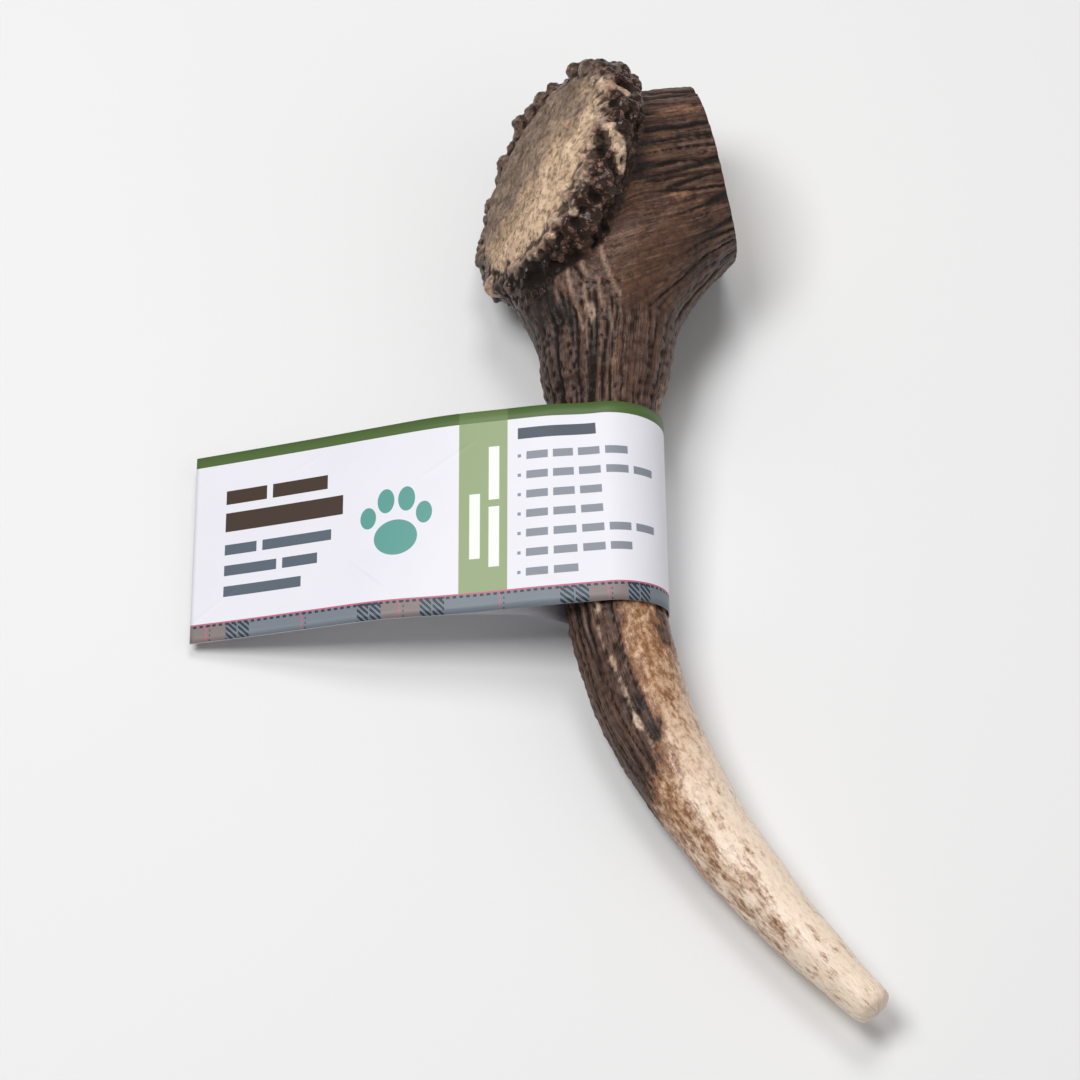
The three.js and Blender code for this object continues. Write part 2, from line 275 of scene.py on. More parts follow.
burr_skin = mesh_of("burr_skin", *pearls(
    np.concatenate([lump_places, pearl_places, rubbed_places, knob_places]),
    np.concatenate([lump_size, pearl_size[kept], RUBBED[:, 2], KNOBS[:, 3]]), chance))


# The antler's skin
# Tine, beam and pearls have grown as one bone: they are fused into one skin, the fork is rounded over,
# and then the skin is raised and sunk: ridges and grooves along the growth, pearls on them, the seal's pores.

VOXEL = 0.54 * MM
FILLET_ROUNDS = 53
RELIEF_SEED = 11
TINE_GIRTH, BEAM_GIRTH = 13, 19  # the mean radius at which patterns are laid round each branch


def fuse(parts, name):
    """One closed skin round all the parts, on a grid of small cubes."""
    bpy.context.view_layer.objects.active = parts[0]
    with bpy.context.temp_override(active_object=parts[0], selected_editable_objects=parts):
        bpy.ops.object.join()
    joined = parts[0]
    remesh = joined.modifiers.new("fuse", "REMESH")
    remesh.mode = "VOXEL"
    remesh.voxel_size = VOXEL
    shape = bpy.data.meshes.new_from_object(joined.evaluated_get(bpy.context.evaluated_depsgraph_get()))
    bpy.data.objects.remove(joined)
    made = bpy.data.objects.new(name, shape)
    bpy.context.scene.collection.objects.link(made)
    return made


def points_of(mesh):
    """The mesh's points, in mm."""
    flat = np.empty(len(mesh.vertices) * 3, np.float32)
    mesh.vertices.foreach_get("co", flat)
    return flat.reshape(-1, 3).astype(float) / MM


def edges_of(mesh):
    """Both ends of each edge."""
    flat = np.empty(len(mesh.edges) * 2, np.int32)
    mesh.edges.foreach_get("vertices", flat)
    return flat.reshape(-1, 2)


def relax(values, edges, share, rounds):
    """Each point moved its share of the way to the mean of its neighbours, again and again."""
    count = len(values)
    both = np.concatenate([edges, edges[:, ::-1]])
    neighbours = np.bincount(both[:, 0], minlength=count)[:, None]
    for _ in range(rounds):
        total = np.stack([np.bincount(both[:, 0], values[both[:, 1], k], count) for k in range(values.shape[1])], 1)
        values = values + share[:, None] * (total / neighbours - values)
    return values


def normals_of(mesh, points):
    """Outward direction at each point: the mean of its faces' directions, weighted by their area."""
    corners = np.empty(len(mesh.loops), np.int32)
    mesh.loops.foreach_get("vertex_index", corners)
    quads = corners.reshape(-1, 4)
    a, b, c, d = (points[quads[:, k]] for k in range(4))
    face = np.cross(c - a, d - b)
    total = np.stack([np.bincount(quads.ravel(), np.repeat(face[:, k], 4), len(points)) for k in range(3)], 1)
    return unit(total)


def cells(p, seed):
    """Distance to the nearest of a scatter of points, one in each unit cube."""
    chance = np.random.default_rng(seed)
    order = chance.permutation(256)
    places = chance.random((256, 3))
    cell = np.floor(p).astype(int)
    nearest = np.full(p.shape[:-1], 9.0)
    for corner in product((-1, 0, 1), repeat=3):
        x, y, z = np.moveaxis(cell + corner, -1, 0) & 255
        place = cell + corner + places[order[(order[(order[x] + y) & 255] + z) & 255]]
        nearest = np.minimum(nearest, ((p - place) ** 2).sum(-1))
    return np.sqrt(nearest)


def smooth(x, low, high):
    """0 below low, 1 above high, and an even S between them."""
    t = np.clip((x - low) / (high - low), 0, 1)
    return t * t * (3 - 2 * t)


def fade(x, low, high):
    """1 below low, 0 above high, and an even S between them."""
    return 1 - smooth(x, low, high)


def along(points, path, ways):
    """For each point the length to its place along a path, and its angle round it."""
    nearest = np.concatenate([
        ((part[:, None] - path[None]) ** 2).sum(-1).argmin(1) for part in np.array_split(points, 40)])
    way = ways[nearest]
    offset = points - path[nearest]
    ahead = (offset * way).sum(-1)
    side = unit(np.cross([0, 0, 1], way))
    up = np.cross(way, side)
    length = np.concatenate([[0], np.cumsum(np.linalg.norm(np.diff(path, axis=0), axis=1))])
    angle = np.arctan2((offset * up).sum(-1), (offset * side).sum(-1))
    return length[nearest] + ahead, angle


def flow(length, angle, radius):
    """Coordinates in mm that follow the growth: round the branch in the first two, along it in the third."""
    return np.stack([radius * np.cos(angle), radius * np.sin(angle), length], -1)


def round_place(place, ragged_by, inner, outer):
    """For each point of the skin 1 near a place and 0 away from it, falling between two distances."""
    return fade(np.linalg.norm(skin - place, axis=1) + ragged_by, inner, outer)


def valleys(length, angle, radius, spacing, reach, width, seed):
    """Narrow valleys along a branch, 1 at their bottom: the places where noise, stretched along the growth,
    passes through zero. They part, meet and end as those of a grown skin do."""
    here = flow(length / reach, angle, radius / spacing)
    bend = 0.3 * noise(here * 0.5 + 5, seed + 1)
    return fade(np.abs(noise(here + bend[:, None], seed)), 0, width)


CALM_PLACE = np.array([23, 57, 37])  # a smoother, warmer patch where tine and beam part
CALM_REACH = (7, 17)  # full within the first distance from its middle, gone beyond the second
# The colour also darkens the skin round DARK_PLACE, as painted shade
DARK_PLACE = np.array([1.0, 51.5, 31.5])  # the hollow where the tine leaves the burr's low end
DARK_DEPTH, DARK_HALF = 1.3, 3.2  # how deep it is, and how far from its middle it is still a third as deep

antler = fuse([tine_skin, beam_skin, burr_skin], "antler")
skin = points_of(antler.data)
edges = edges_of(antler.data)

# Where each point lies on tine and beam: the length along them in mm, and the turn round them in degrees
tine_length, tine_angle = along(skin, tine_path, tine_way)
beam_length, beam_angle = along(skin, beam_path[len(collar):], beam_way[len(collar):])
tine_turn = (np.degrees(tine_angle) + 90) % 360 - 90  # 0 on the right, 90 on top, 180 on the left
beam_turn = np.degrees(beam_angle)  # 90 on top, 180 on the side of the tine

# And where it lies on the burr: how far behind its middle and aside of its axis, the angle across the collar,
# and the distance from the collar's ring, 1 on its surface
from_burr = skin - BURR_MIDDLE
behind = from_burr @ inward
from_axis = from_burr - behind[:, None] * inward
aside = np.linalg.norm(from_axis, axis=1)
across = np.degrees(np.arctan2((behind - RING_BACK) / RING_DEPTH, (aside - RING_RADIUS) / RING_OUT))
far_out = RING_OUT * np.where(aside > RING_RADIUS, 1 + 0.8 * fade(behind, -1, 2), 1.0)
far_back = RING_DEPTH * np.where(behind < RING_BACK, 1.5, 1.0)
from_ring = np.hypot((behind - RING_BACK) / far_back, (aside - RING_RADIUS) / far_out)
ragged = noise(skin / 2.4, 61)

# Each point's share of the four kinds of skin: seal, burr, beam and tine, with ragged edges between them
bitten = 1.1 * ragged + 2.0 * noise(skin / 4.5, 60)
on_seal = smooth(-behind + 1.1 * ragged, 3.0, 4.4) * fade(aside + bitten, 21.6, 22.8)
in_burr = fade(from_ring + 0.12 * ragged, 1.25, 1.55) * (1 - on_seal)
plain = (1 - in_burr) * (1 - on_seal)
on_beam = smooth(skin[:, 1] + 2.0 * noise(skin / 6, 62), 40, 50) * plain
on_tine = plain - on_beam

# The fork is rounded over, and the cubes' steps are taken off everywhere
fork_band = smooth(skin[:, 1], 40, 46) * plain * fade(skin[:, 1], 72, 82)
skin = relax(skin, edges, 0.5 * fork_band, FILLET_ROUNDS)
skin = relax(skin, edges, 0.28 * (1 - 0.6 * in_burr), 2)
out = normals_of(antler.data, skin)

# How far the dark bark has worn off: on the right flank below the label, then all round to the tip.
# The boundary's turn from the right side, in degrees, at lengths from the tine's root
WORN_EDGE = np.array([
    [80, 25], [92, 60], [100, 84], [110, 97], [120, 94], [129, 90], [134, 104], [137, 130], [140, 165], [146, 205],
    [160, 250], [180, 290],
])
warp = noise(skin / 8, 21) + 0.6 * noise(skin / 3.2, 22)
edge = np.interp(tine_length, WORN_EDGE[:, 0], WORN_EDGE[:, 1])
blur = 15 + 60 * smooth(tine_length, 124, 140)
worn = smooth((edge - tine_turn + 11 * warp) / blur, -1, 1.1) * smooth(tine_length + 4 * warp, 84, 98)
# Underneath and on the flank just below the label the bark holds on longer; the right edge is half rubbed
below = fade(tine_turn + 13 * warp, -75, -45)
worn *= 1 - below * fade(tine_length + 9 * warp, 128, 160)
flank = fade(tine_turn + 12 * warp, 36, 56) * fade(tine_length + 4 * warp, 105, 119)
worn *= 1 - 0.8 * flank
rim = smooth(28 - tine_turn + 7 * warp, -4, 8) * smooth(tine_turn, -50, -30) * smooth(tine_length, 38, 60)
worn = np.maximum(worn, 0.50 * rim * on_tine)
# The worn bone pales towards the tip, and brown stains stay on its left and near the label
pale = smooth(tine_length + 5 * warp + 9 * np.cos(tine_angle), 104, 158)
stain = 0.75 * smooth(tine_turn + 14 * warp, 82, 122) * fade(tine_length + 8 * warp, 174, 198)
stain += 0.45 * smooth(tine_turn + 14 * warp, 95, 125) * fade(tine_length + 6 * warp, 146, 160)
stain += 0.2 * fade(tine_length + 8 * warp, 130, 165)
stain = np.maximum(stain, fade(tine_length + 4 * warp, 112, 134))
# A dark line runs beside the boundary for part of its length
beside_edge = np.exp(-((tine_turn - edge - 9 + 5 * warp) / 6) ** 2) * smooth(tine_length, 98, 106)
beside_edge *= fade(tine_length, 130, 138) * smooth(noise(skin / 4.5, 23), -0.3, 0.25)

# Rows of grooves that show in front: turn in degrees, half width, depth in mm
TINE_GROOVES = [(139, 3.4, 0.9), (118, 2.5, 0.8), (102, 2.3, 0.65), (86, 2.0, 0.45), (74, 1.8, 0.35)]
BEAM_GROOVES = [(60, 1.3, 0.5), (89, 2.2, 0.95), (99, 1.1, 0.5), (113, 1.6, 0.85), (122, 1.7, 0.6), (138, 1.4, 0.5),
                (149, 1.2, 0.4), (159, 1.2, 0.35)]

# Pale lines where the skin was stretched below the burr: length and turn at both ends
STRETCHED = [(25.1, 114, 33.0, 100), (24.3, 97, 34.0, 76), (28.6, 119, 41.5, 110), (34.0, 89, 42.8, 83),
             (30.0, 129, 38.0, 127), (31.0, 107, 40.0, 103), (30.5, 95, 37.0, 91), (33.0, 122, 43.0, 118)]


def stretched(length, turn, rows, radius=15.0, half=0.42):
    """1 on any of a list of straight thin lines, which end in a point, and 0 away from them."""
    here = np.stack([length, np.radians(turn) * radius], -1)
    most = np.zeros(len(length))
    for start_length, start_turn, end_length, end_turn in rows:
        start = np.array([start_length, np.radians(start_turn) * radius])
        way = np.array([end_length, np.radians(end_turn) * radius]) - start
        share = np.clip((here - start) @ way / (way @ way), 0, 1)
        away = np.linalg.norm(here - start - share[:, None] * way, axis=1)
        most = np.maximum(most, fade(away, 0.3 * half, half + 0.35 * np.sin(np.pi * share)))
    return most


def carved(turn, length, rows, wander, seed):
    """The deepest of a list of grooves: each a bell across its own line, which wanders with the length."""
    depth = np.zeros(len(turn))
    for k, (at, half, deep) in enumerate(rows):
        lane = np.stack([length * 0.09, np.full(len(length), 7.3 * k), turn * 0.01], -1)
        off = (turn - at - wander * noise(lane, seed) - 0.4 * wander * noise(3.1 * lane, seed + 1)) / half
        ebb = 0.8 + 0.5 * noise(lane * 2, seed + 2)
        depth = np.maximum(depth, deep * ebb * np.exp(-off ** 2))
    return depth


upper = fade(tine_length, 76, 96) * smooth(tine_length, 18, 30)
seen_beam = smooth(beam_turn, 48, 60) * fade(beam_turn, 160, 172)
# How strong the grooves are: most on the tine's left, weak where it is worn, none at the tip
strength = (0.45 + 0.55 * smooth(-np.cos(tine_angle), -0.5, 0.35)) * (1 - 0.85 * worn)
strength *= fade(tine_length, 150, 185) * (1 - 0.5 * smooth(tine_length, 92, 112))
uneven = 0.45 + 0.75 * smooth(noise(flow(tine_length / 11, tine_angle, 1.6), 42), -0.25, 0.35)
uneven_beam = 0.35 + 0.8 * smooth(noise(flow(beam_length / 9, beam_angle, 2.6), 43), -0.25, 0.35)
groove_tine = valleys(tine_length, tine_angle, TINE_GIRTH, spacing=2.7, reach=34, width=0.36, seed=RELIEF_SEED)
fine_tine = uneven * valleys(tine_length, tine_angle, TINE_GIRTH, spacing=1.35, reach=15, width=0.5,
                             seed=RELIEF_SEED + 2)
groove_beam = valleys(beam_length, beam_angle, BEAM_GIRTH, spacing=2.8, reach=36, width=0.30,
                      seed=RELIEF_SEED + 4)
fine_beam = uneven_beam * valleys(beam_length, beam_angle, BEAM_GIRTH, spacing=1.3, reach=18, width=0.5,
                                  seed=RELIEF_SEED + 6)
cut_tine = carved(tine_turn, tine_length, TINE_GROOVES, 4.0, 81) * upper
cut_beam = carved(beam_turn, beam_length, BEAM_GROOVES, 2.0, 91) * seen_beam
scatter = cells(flow(tine_length / 2.4, tine_angle, TINE_GIRTH / 1.7), 31)
pits = fade(scatter, 0.14, 0.42) * (1 - groove_tine) * fade(tine_length, 90, 112)
pits *= smooth(tine_turn + 8 * warp, 55, 90)
calm = 1 - 0.75 * round_place(CALM_PLACE, 2 * warp, *CALM_REACH)

# How far each point sinks below the plain lofts, in mm: the deepest of its grooves, and knotty noise
deep_tine = np.maximum(strength * np.maximum(groove_tine * 0.75, 0.30 * fine_tine), np.maximum(cut_tine, 0.55 * pits))
deep_beam = np.maximum(calm * groove_beam * 0.55, np.maximum(calm * 0.28 * fine_beam, cut_beam * calm))
sink = on_tine * deep_tine + on_beam * deep_beam
knotty = noise(flow(tine_length / 1.7, tine_angle, TINE_GIRTH / 2.2), 59)
knotty *= on_tine * fade(tine_length, 112, 138)
sink += plain * (1 - 0.85 * worn) * (0.16 * noise(skin / 1.2, 53) + 0.2 * noise(skin / 3.0, 58) + 0.3 * knotty)

# The burr's grain with its carved hollows, and the seal's bumps and pits
grain = cells(skin / 1.7, 54)
raise_burr = in_burr * (0.15 - 0.35 * smooth(grain, 0.25, 0.8))
caved = np.zeros(len(skin))
for angle, across_there, half, depth in HOLLOWS:
    away = np.linalg.norm(skin - on_ring(np.array([angle]), np.array([across_there])), axis=1)
    caved += depth * np.exp(-(away / half) ** 2)
raise_burr -= caved
seal_flat = np.stack([from_burr @ seal_side / 5.0, from_burr @ seal_up / 2.6, behind / 3], -1)
raise_seal = on_seal * (0.6 * noise(skin / 7.0, 63) + 0.4 * noise(seal_flat, 64) + 0.26 * noise(skin / 1.3, 65)
                        - 0.35 * smooth(0.33 - cells(skin / 2.4, 66), 0, 0.2))
lined = plain * stretched(tine_length + 0.4 * warp, tine_turn + 1.0 * warp, STRETCHED)
sink -= 0.16 * lined
to_dark = np.linalg.norm(skin - DARK_PLACE, axis=1)
sink += DARK_DEPTH * np.exp(-(to_dark / DARK_HALF) ** 2)
swell = 0.25 * noise(skin / 12, 71) * plain
skin = skin + out * (swell + raise_burr + raise_seal - sink)[:, None]

# How hollow each place is: how far the mean of the places round it, near or wide, lies outside it. The colour darkens
# the hollows from it as painted shade, so the burr's low side is made more hollow and the neck behind the collar
# less.
NEAR_ROUNDS, WIDE_ROUNDS = 4, 18
NEAR_FULL, WIDE_FULL = 0.18, 0.7  # how far, in mm, counts as 1
out = normals_of(antler.data, skin)
near_mean = relax(skin, edges, np.full(len(skin), 0.9), NEAR_ROUNDS)
wide_mean = relax(near_mean, edges, np.full(len(skin), 0.9), WIDE_ROUNDS)
round_seal = np.degrees(np.arctan2(from_axis @ seal_up, from_axis @ seal_side))
# The burr's low side counts as more hollow, for painted shade there
low_side_shade = fade(np.abs(round_seal - 5), 15, 50)
hollow = ((near_mean - skin) * out).sum(1) / NEAR_FULL
hollow += in_burr * (((wide_mean - skin) * out).sum(1) / WIDE_FULL + 0.35 * caved + 0.5 * low_side_shade)
hollow *= 1 - 0.75 * smooth(across, 25, 60) * fade(from_ring, 1.6, 3.2)
hollow = np.clip(0.5 + 0.5 * hollow, 0, 1)

antler.data.vertices.foreach_set("co", (skin * MM).astype(np.float32).ravel())

# What the material reads: how much painted shade, how grooved, ochre and rubbed pale each point is, and how tan and
# lit the seal is
# Painted shade: the tine's left side and the hollow under the burr's low end are darkened where shade falls
shaded_left_side = smooth(tine_turn + 8 * warp, 118, 142) * fade(tine_length + 5 * warp, 66, 92)
shade_under_burr = 1.2 * fade(to_dark + 1.5 * warp, 2.5, 8)
painted_shade = np.maximum(plain * shaded_left_side, shade_under_burr)
groove = np.clip(1.15 * (on_tine * np.maximum(deep_tine, 0.55 * beside_edge) + on_beam * deep_beam), 0, 1)

# Places rubbed pale: short streaks on the dark side of the tine, by length, turn, half length and width,
# and how pale; and orange patches of the same kind on tine and beam
TINE_STREAKS = [(112.3, 117, 2.6, 0.85, 1.0), (118.5, 115, 4.5, 0.6, 0.8), (125.3, 115.5, 3.0, 0.95, 1.0),
                (130, 113.5, 2.4, 0.5, 0.6), (100, 117, 2.4, 0.8, 0.8), (106, 122, 3.0, 0.5, 0.5),
                (37, 102, 2.4, 0.9, 0.5), (28, 106, 5.0, 0.45, 0.35), (29, 87, 5.5, 0.45, 0.35)]
TINE_OCHRE = [(37, 101, 2.5, 1.0, 0.8), (48, 82, 4.0, 0.9, 0.8), (44, 116, 2.5, 0.7, 0.6), (52, 92, 12, 2.6, 0.4),
              (91, 112, 3.5, 0.8, 0.9), (95, 96, 4.0, 1.0, 0.9)]
BEAM_OCHRE = [(22, 76, 6.0, 2.0, 0.8), (16.4, 131, 3.0, 1.2, 0.9), (20.3, 139, 1.8, 1.4, 0.9),
              (6, 121, 4.0, 0.9, 0.7), (14, 104, 4.0, 0.6, 0.5), (19, 119, 4.5, 0.6, 0.5)]


def rubbed_spots(length, turn, radius, spots, rag=0.35):
    """The palest of a list of ragged lenses that lie along the growth."""
    most = np.zeros(len(length))
    for at, side, long, wide, how_pale in spots:
        off = np.abs((length - at) / long) ** 1.4 + np.abs(np.radians(turn - side) * radius / wide)
        most = np.maximum(most, how_pale * fade(off + rag * ragged, 0.45, 1.25))
    return most


rub = on_tine * rubbed_spots(tine_length, tine_turn + 2.5 * ragged, 11, TINE_STREAKS, 0.3)
ochre = (on_tine * rubbed_spots(tine_length, tine_turn, 12, TINE_OCHRE)
         + on_beam * rubbed_spots(beam_length, beam_turn, BEAM_GIRTH, BEAM_OCHRE))
to_rubbed = np.sqrt(((skin[:, None] - rubbed_places) ** 2).sum(-1)) / RUBBED[:, 2]
rub = np.maximum(rub, in_burr * fade(to_rubbed.min(1) + 0.25 * ragged, 0.9, 1.45))
near_side = smooth(round_seal, -28, 20) * fade(round_seal, 115, 150)
rim_of_seal = in_burr * smooth(-across + 22 * ragged, 44, 86) * (0.15 + 0.75 * near_side)
rub = np.maximum(rub, rim_of_seal)
# The seal turns lighter and tan towards its near, lower side: partly the bone's own tan, partly painted light as if
# that side were lit. Its rim there is tan too.
lit_tan_side = from_axis @ (seal_side * 0.85 + seal_up * 0.53) + 7 * warp
tan_rim = smooth(aside + 2 * ragged, 15, 22) * near_side
seal_tan_and_lit = np.clip(smooth(lit_tan_side, -6, 15) + 0.5 * tan_rim, 0, 1)


def give(mesh, name, values, kind="FLOAT"):
    """A named value at each point of the mesh, which the material reads."""
    field = "vector" if kind == "FLOAT_VECTOR" else "value"
    mesh.attributes.new(name, kind, "POINT").data.foreach_set(field, values.astype(np.float32).ravel())


def shade_smooth(mesh):
    """All faces shaded as one smooth skin."""
    mesh.polygons.foreach_set("use_smooth", np.ones(len(mesh.polygons), bool))


give(antler.data, "tine_flow", flow(tine_length, tine_angle, TINE_GIRTH), "FLOAT_VECTOR")
give(antler.data, "beam_flow", flow(beam_length, beam_angle, BEAM_GIRTH), "FLOAT_VECTOR")
at_points = {
    "on_beam": on_beam, "in_burr": in_burr, "on_seal": on_seal,
    "worn": worn, "pale": pale, "stain": stain, "ochre": ochre, "groove": groove, "hollow": hollow,
    "painted_shade": painted_shade, "lined": lined, "rub": rub, "seal_tan_and_lit": seal_tan_and_lit,
    "warm": round_place(CALM_PLACE, 2 * warp, *CALM_REACH),
}
for name, values in at_points.items():
    give(antler.data, name, values)
shade_smooth(antler.data)


# The saw cut
# The beam was sawn through square to its length with a fine blade: a ring of dense bone round a spongy core.

CHAMFER = 0.2 * MM


def saw(piece, middle, normal):
    """Cuts the piece at a plane, closes it with one flat face with a narrow bevel round it, and gives that
    face the second material."""
    cut = bmesh.new()
    cut.from_mesh(piece.data)
    plane = (middle - CHAMFER / MM * normal) * MM
    found = bmesh.ops.bisect_plane(
        cut, geom=cut.verts[:] + cut.edges[:] + cut.faces[:], plane_co=plane, plane_no=normal, clear_outer=True)
    rim = [e for e in found["geom_cut"] if isinstance(e, bmesh.types.BMEdge)]
    face = bmesh.ops.contextual_create(cut, geom=rim)["faces"][0]
    face.material_index = 1
    face.smooth = False
    if face.normal.dot(normal) < 0:
        face.normal_flip()
    bevel = bmesh.ops.inset_region(cut, faces=[face], thickness=CHAMFER, depth=CHAMFER)
    for side in bevel["faces"]:
        side.material_index = 0
        side.smooth = False
    cut.to_mesh(piece.data)
    cut.free()


saw(antler, SAWN_MIDDLE, SAWN_NORMAL)


# The finish of the antler
# Dry bark-brown skin with near-black grooves, pearls that are paler where they are rubbed, tan and ivory bone
# where it is worn, and the seal's dull, porous bone. Painted shade darkens the hollows, the tine's left side
# and the place under the burr, and a painted highlight lights the pearls' tops.

class Nodes:
    """Short ways to add and join the nodes of one material."""

    def __init__(self, name):
        self.material = bpy.data.materials.new(name)
        self.material.use_nodes = True
        self.tree = self.material.node_tree
        self.shader = self.tree.nodes["Principled BSDF"]

    def put(self, socket, value):
        """Joins a socket to another, or sets its value."""
        if isinstance(value, bpy.types.NodeSocket):
            self.tree.links.new(value, socket)
        else:
            socket.default_value = value

    def add(self, kind, **settings):
        """A new node with these settings."""
        node = self.tree.nodes.new(kind)
        for key, value in settings.items():
            setattr(node, key, value)
        return node

    def read(self, name, vector=False):
        """The value that the mesh holds under this name."""
        node = self.add("ShaderNodeAttribute", attribute_name=name)
        return node.outputs["Vector" if vector else "Fac"]

    def math(self, operation, a, b=0.0, c=0.0, clamp=False):
        """One operation on up to three numbers."""
        node = self.add("ShaderNodeMath", operation=operation, use_clamp=clamp)
        for socket, value in zip(node.inputs, (a, b, c)):
            self.put(socket, value)
        return node.outputs[0]

    def times(self, a, b):
        """One value times another."""
        return self.math("MULTIPLY", a, b)

    def rest_of(self, value, share=1.0):
        """What is left of 1 after a share of the value is taken away."""
        return self.math("SUBTRACT", 1.0, value if share == 1.0 else self.times(value, share))

    def weigh(self, *parts):
        """The sum of values, each multiplied by its own weight."""
        total = 0.0
        for value, weight in parts:
            total = self.math("MULTIPLY_ADD", value, weight, total)
        return total

    def mix(self, amount, a, b):
        """Colour a turning to colour b."""
        node = self.add("ShaderNodeMix", data_type="RGBA")
        self.put(node.inputs["Factor"], amount)
        self.put(node.inputs[6], a)
        self.put(node.inputs[7], b)
        return node.outputs[2]

    def ramp(self, amount, *stops):
        """A colour or grey for each amount: stops are (place, colour)."""
        node = self.add("ShaderNodeValToRGB")
        self.put(node.inputs[0], amount)
        elements = node.color_ramp.elements
        while len(elements) < len(stops):
            elements.new(0.5)
        for element, (place, colour) in zip(elements, stops):
            element.position = place
            element.color = colour if isinstance(colour, tuple) else (colour, colour, colour, 1)
        return node.outputs[0]

    def noise(self, where, scale, detail=3.0, roughness=0.55):
        """Cloudy noise from 0 to 1."""
        node = self.add("ShaderNodeTexNoise")
        self.put(node.inputs["Vector"], where)
        node.inputs["Scale"].default_value = scale
        node.inputs["Detail"].default_value = detail
        node.inputs["Roughness"].default_value = roughness
        return node.outputs["Fac"]

    def bend(self, where, scale, amount):
        """Coordinates pushed by this amount of noise in three directions, so that a pattern on them bends."""
        cloud = self.add("ShaderNodeTexNoise")
        self.put(cloud.inputs["Vector"], where)
        cloud.inputs["Scale"].default_value = scale
        node = self.add("ShaderNodeVectorMath", operation="MULTIPLY_ADD")
        self.put(node.inputs[0], cloud.outputs["Color"])
        node.inputs[1].default_value = (amount, amount, amount)
        self.put(node.inputs[2], where)
        return node.outputs[0]

    def cells(self, where, scale):
        """Distance to a scatter of points."""
        node = self.add("ShaderNodeTexVoronoi")
        self.put(node.inputs["Vector"], where)
        node.inputs["Scale"].default_value = scale
        return node.outputs["Distance"]

    def beads(self, where, scale):
        """A dome round each of a scatter of points, and a chance shade for each."""
        node = self.add("ShaderNodeTexVoronoi")
        self.put(node.inputs["Vector"], where)
        node.inputs["Scale"].default_value = scale
        away = node.outputs["Distance"]
        dome = self.math("MULTIPLY_ADD", self.times(away, away), -3.2, 1.0, clamp=True)
        return dome, self.math("ADD", node.outputs["Color"], 0.0)

    def stretch(self, where, x, y, z):
        """Coordinates multiplied by these."""
        node = self.add("ShaderNodeVectorMath", operation="MULTIPLY")
        self.put(node.inputs[0], where)
        node.inputs[1].default_value = (x, y, z)
        return node.outputs[0]

    def blend(self, amount, a, b):
        """Number a turning to number b."""
        node = self.add("ShaderNodeMix", data_type="FLOAT")
        self.put(node.inputs["Factor"], amount)
        self.put(node.inputs[2], a)
        self.put(node.inputs[3], b)
        return node.outputs[0]


GROOVE_AND_SHADE = (0.011, 0.006, 0.004, 1)
BARK = (0.030, 0.014, 0.010, 1)
GREY_BARK = (0.106, 0.060, 0.044, 1)
WARM_BARK = (0.098, 0.044, 0.026, 1)
ORANGE = (0.25, 0.108, 0.048, 1)
ORANGE_EDGE = (0.33, 0.140, 0.055, 1)
ORANGE_BONE = (0.155, 0.064, 0.026, 1)
LIGHT_BONE = (0.88, 0.65, 0.47, 1)
BROWN_BONE = (0.19, 0.090, 0.042, 1)
TAN = (0.50, 0.29, 0.165, 1)
CREAM = (0.79, 0.58, 0.425, 1)
IVORY = (0.93, 0.765, 0.61, 1)
BLOT = (0.36, 0.165, 0.070, 1)
LINE = (0.33, 0.20, 0.145, 1)
OCHRE = (0.30, 0.145, 0.078, 1)
SEAL_LIGHT = (0.84, 0.61, 0.42, 1)
SEAL_TAN = (0.56, 0.385, 0.245, 1)
SEAL_GREY = (0.28, 0.20, 0.148, 1)
SEAL_DARK = (0.12, 0.078, 0.054, 1)
SEAL_PORE_AND_SHADE = (0.060, 0.034, 0.020, 1)
PEARL = (0.030, 0.013, 0.008, 1)
PEARL_BROWN = (0.098, 0.046, 0.031, 1)
PEARL_HIGHLIGHT = (0.26, 0.155, 0.115, 1)

look = Nodes("antler_skin")


def cracks(where, scale, lengthways):
    """Thin lines along the growth, 1 in their middle: where stretched noise passes through its mean."""
    cloud = look.noise(look.stretch(where, 1, 1, lengthways), scale, 2, 0.5)
    off = look.math("ABSOLUTE", look.math("SUBTRACT", cloud, 0.5))
    return look.ramp(off, (0.0, 1.0), (0.032, 0.0))


place = look.add("ShaderNodeTexCoord").outputs["Object"]
place = look.stretch(place, 1000, 1000, 1000)
beam = look.read("on_beam")
burr = look.read("in_burr")
seal = look.read("on_seal")
wear = look.read("worn")
deep = look.read("groove")
hollow_at = look.read("hollow")
tine_way_at = look.read("tine_flow", vector=True)
beam_way_at = look.read("beam_flow", vector=True)

tine_streak = look.noise(look.stretch(tine_way_at, 1, 1, 0.10), 1.1, 5, 0.62)
beam_streak = look.noise(look.stretch(beam_way_at, 1, 1, 0.09), 1.0, 5, 0.62)
streak = look.blend(beam, tine_streak, beam_streak)
crack = look.blend(beam, cracks(tine_way_at, 0.85, 0.07), cracks(beam_way_at, 0.80, 0.05))
crack = look.times(crack, look.ramp(look.noise(place, 0.5, 3), (0.42, 0.0), (0.58, 1.0)))
patch = look.noise(place, 0.13, 3)
speck = look.noise(place, 0.9, 4, 0.65)
mottle = look.noise(look.stretch(tine_way_at, 1, 1, 0.6), 0.55, 5, 0.72)
# top is 1 on crests and pit 1 in deep hollows; pit darkens the colours as painted shade
top = look.ramp(hollow_at, (0.20, 1.0), (0.48, 0.0))
pit = look.ramp(hollow_at, (0.52, 0.0), (0.86, 1.0))

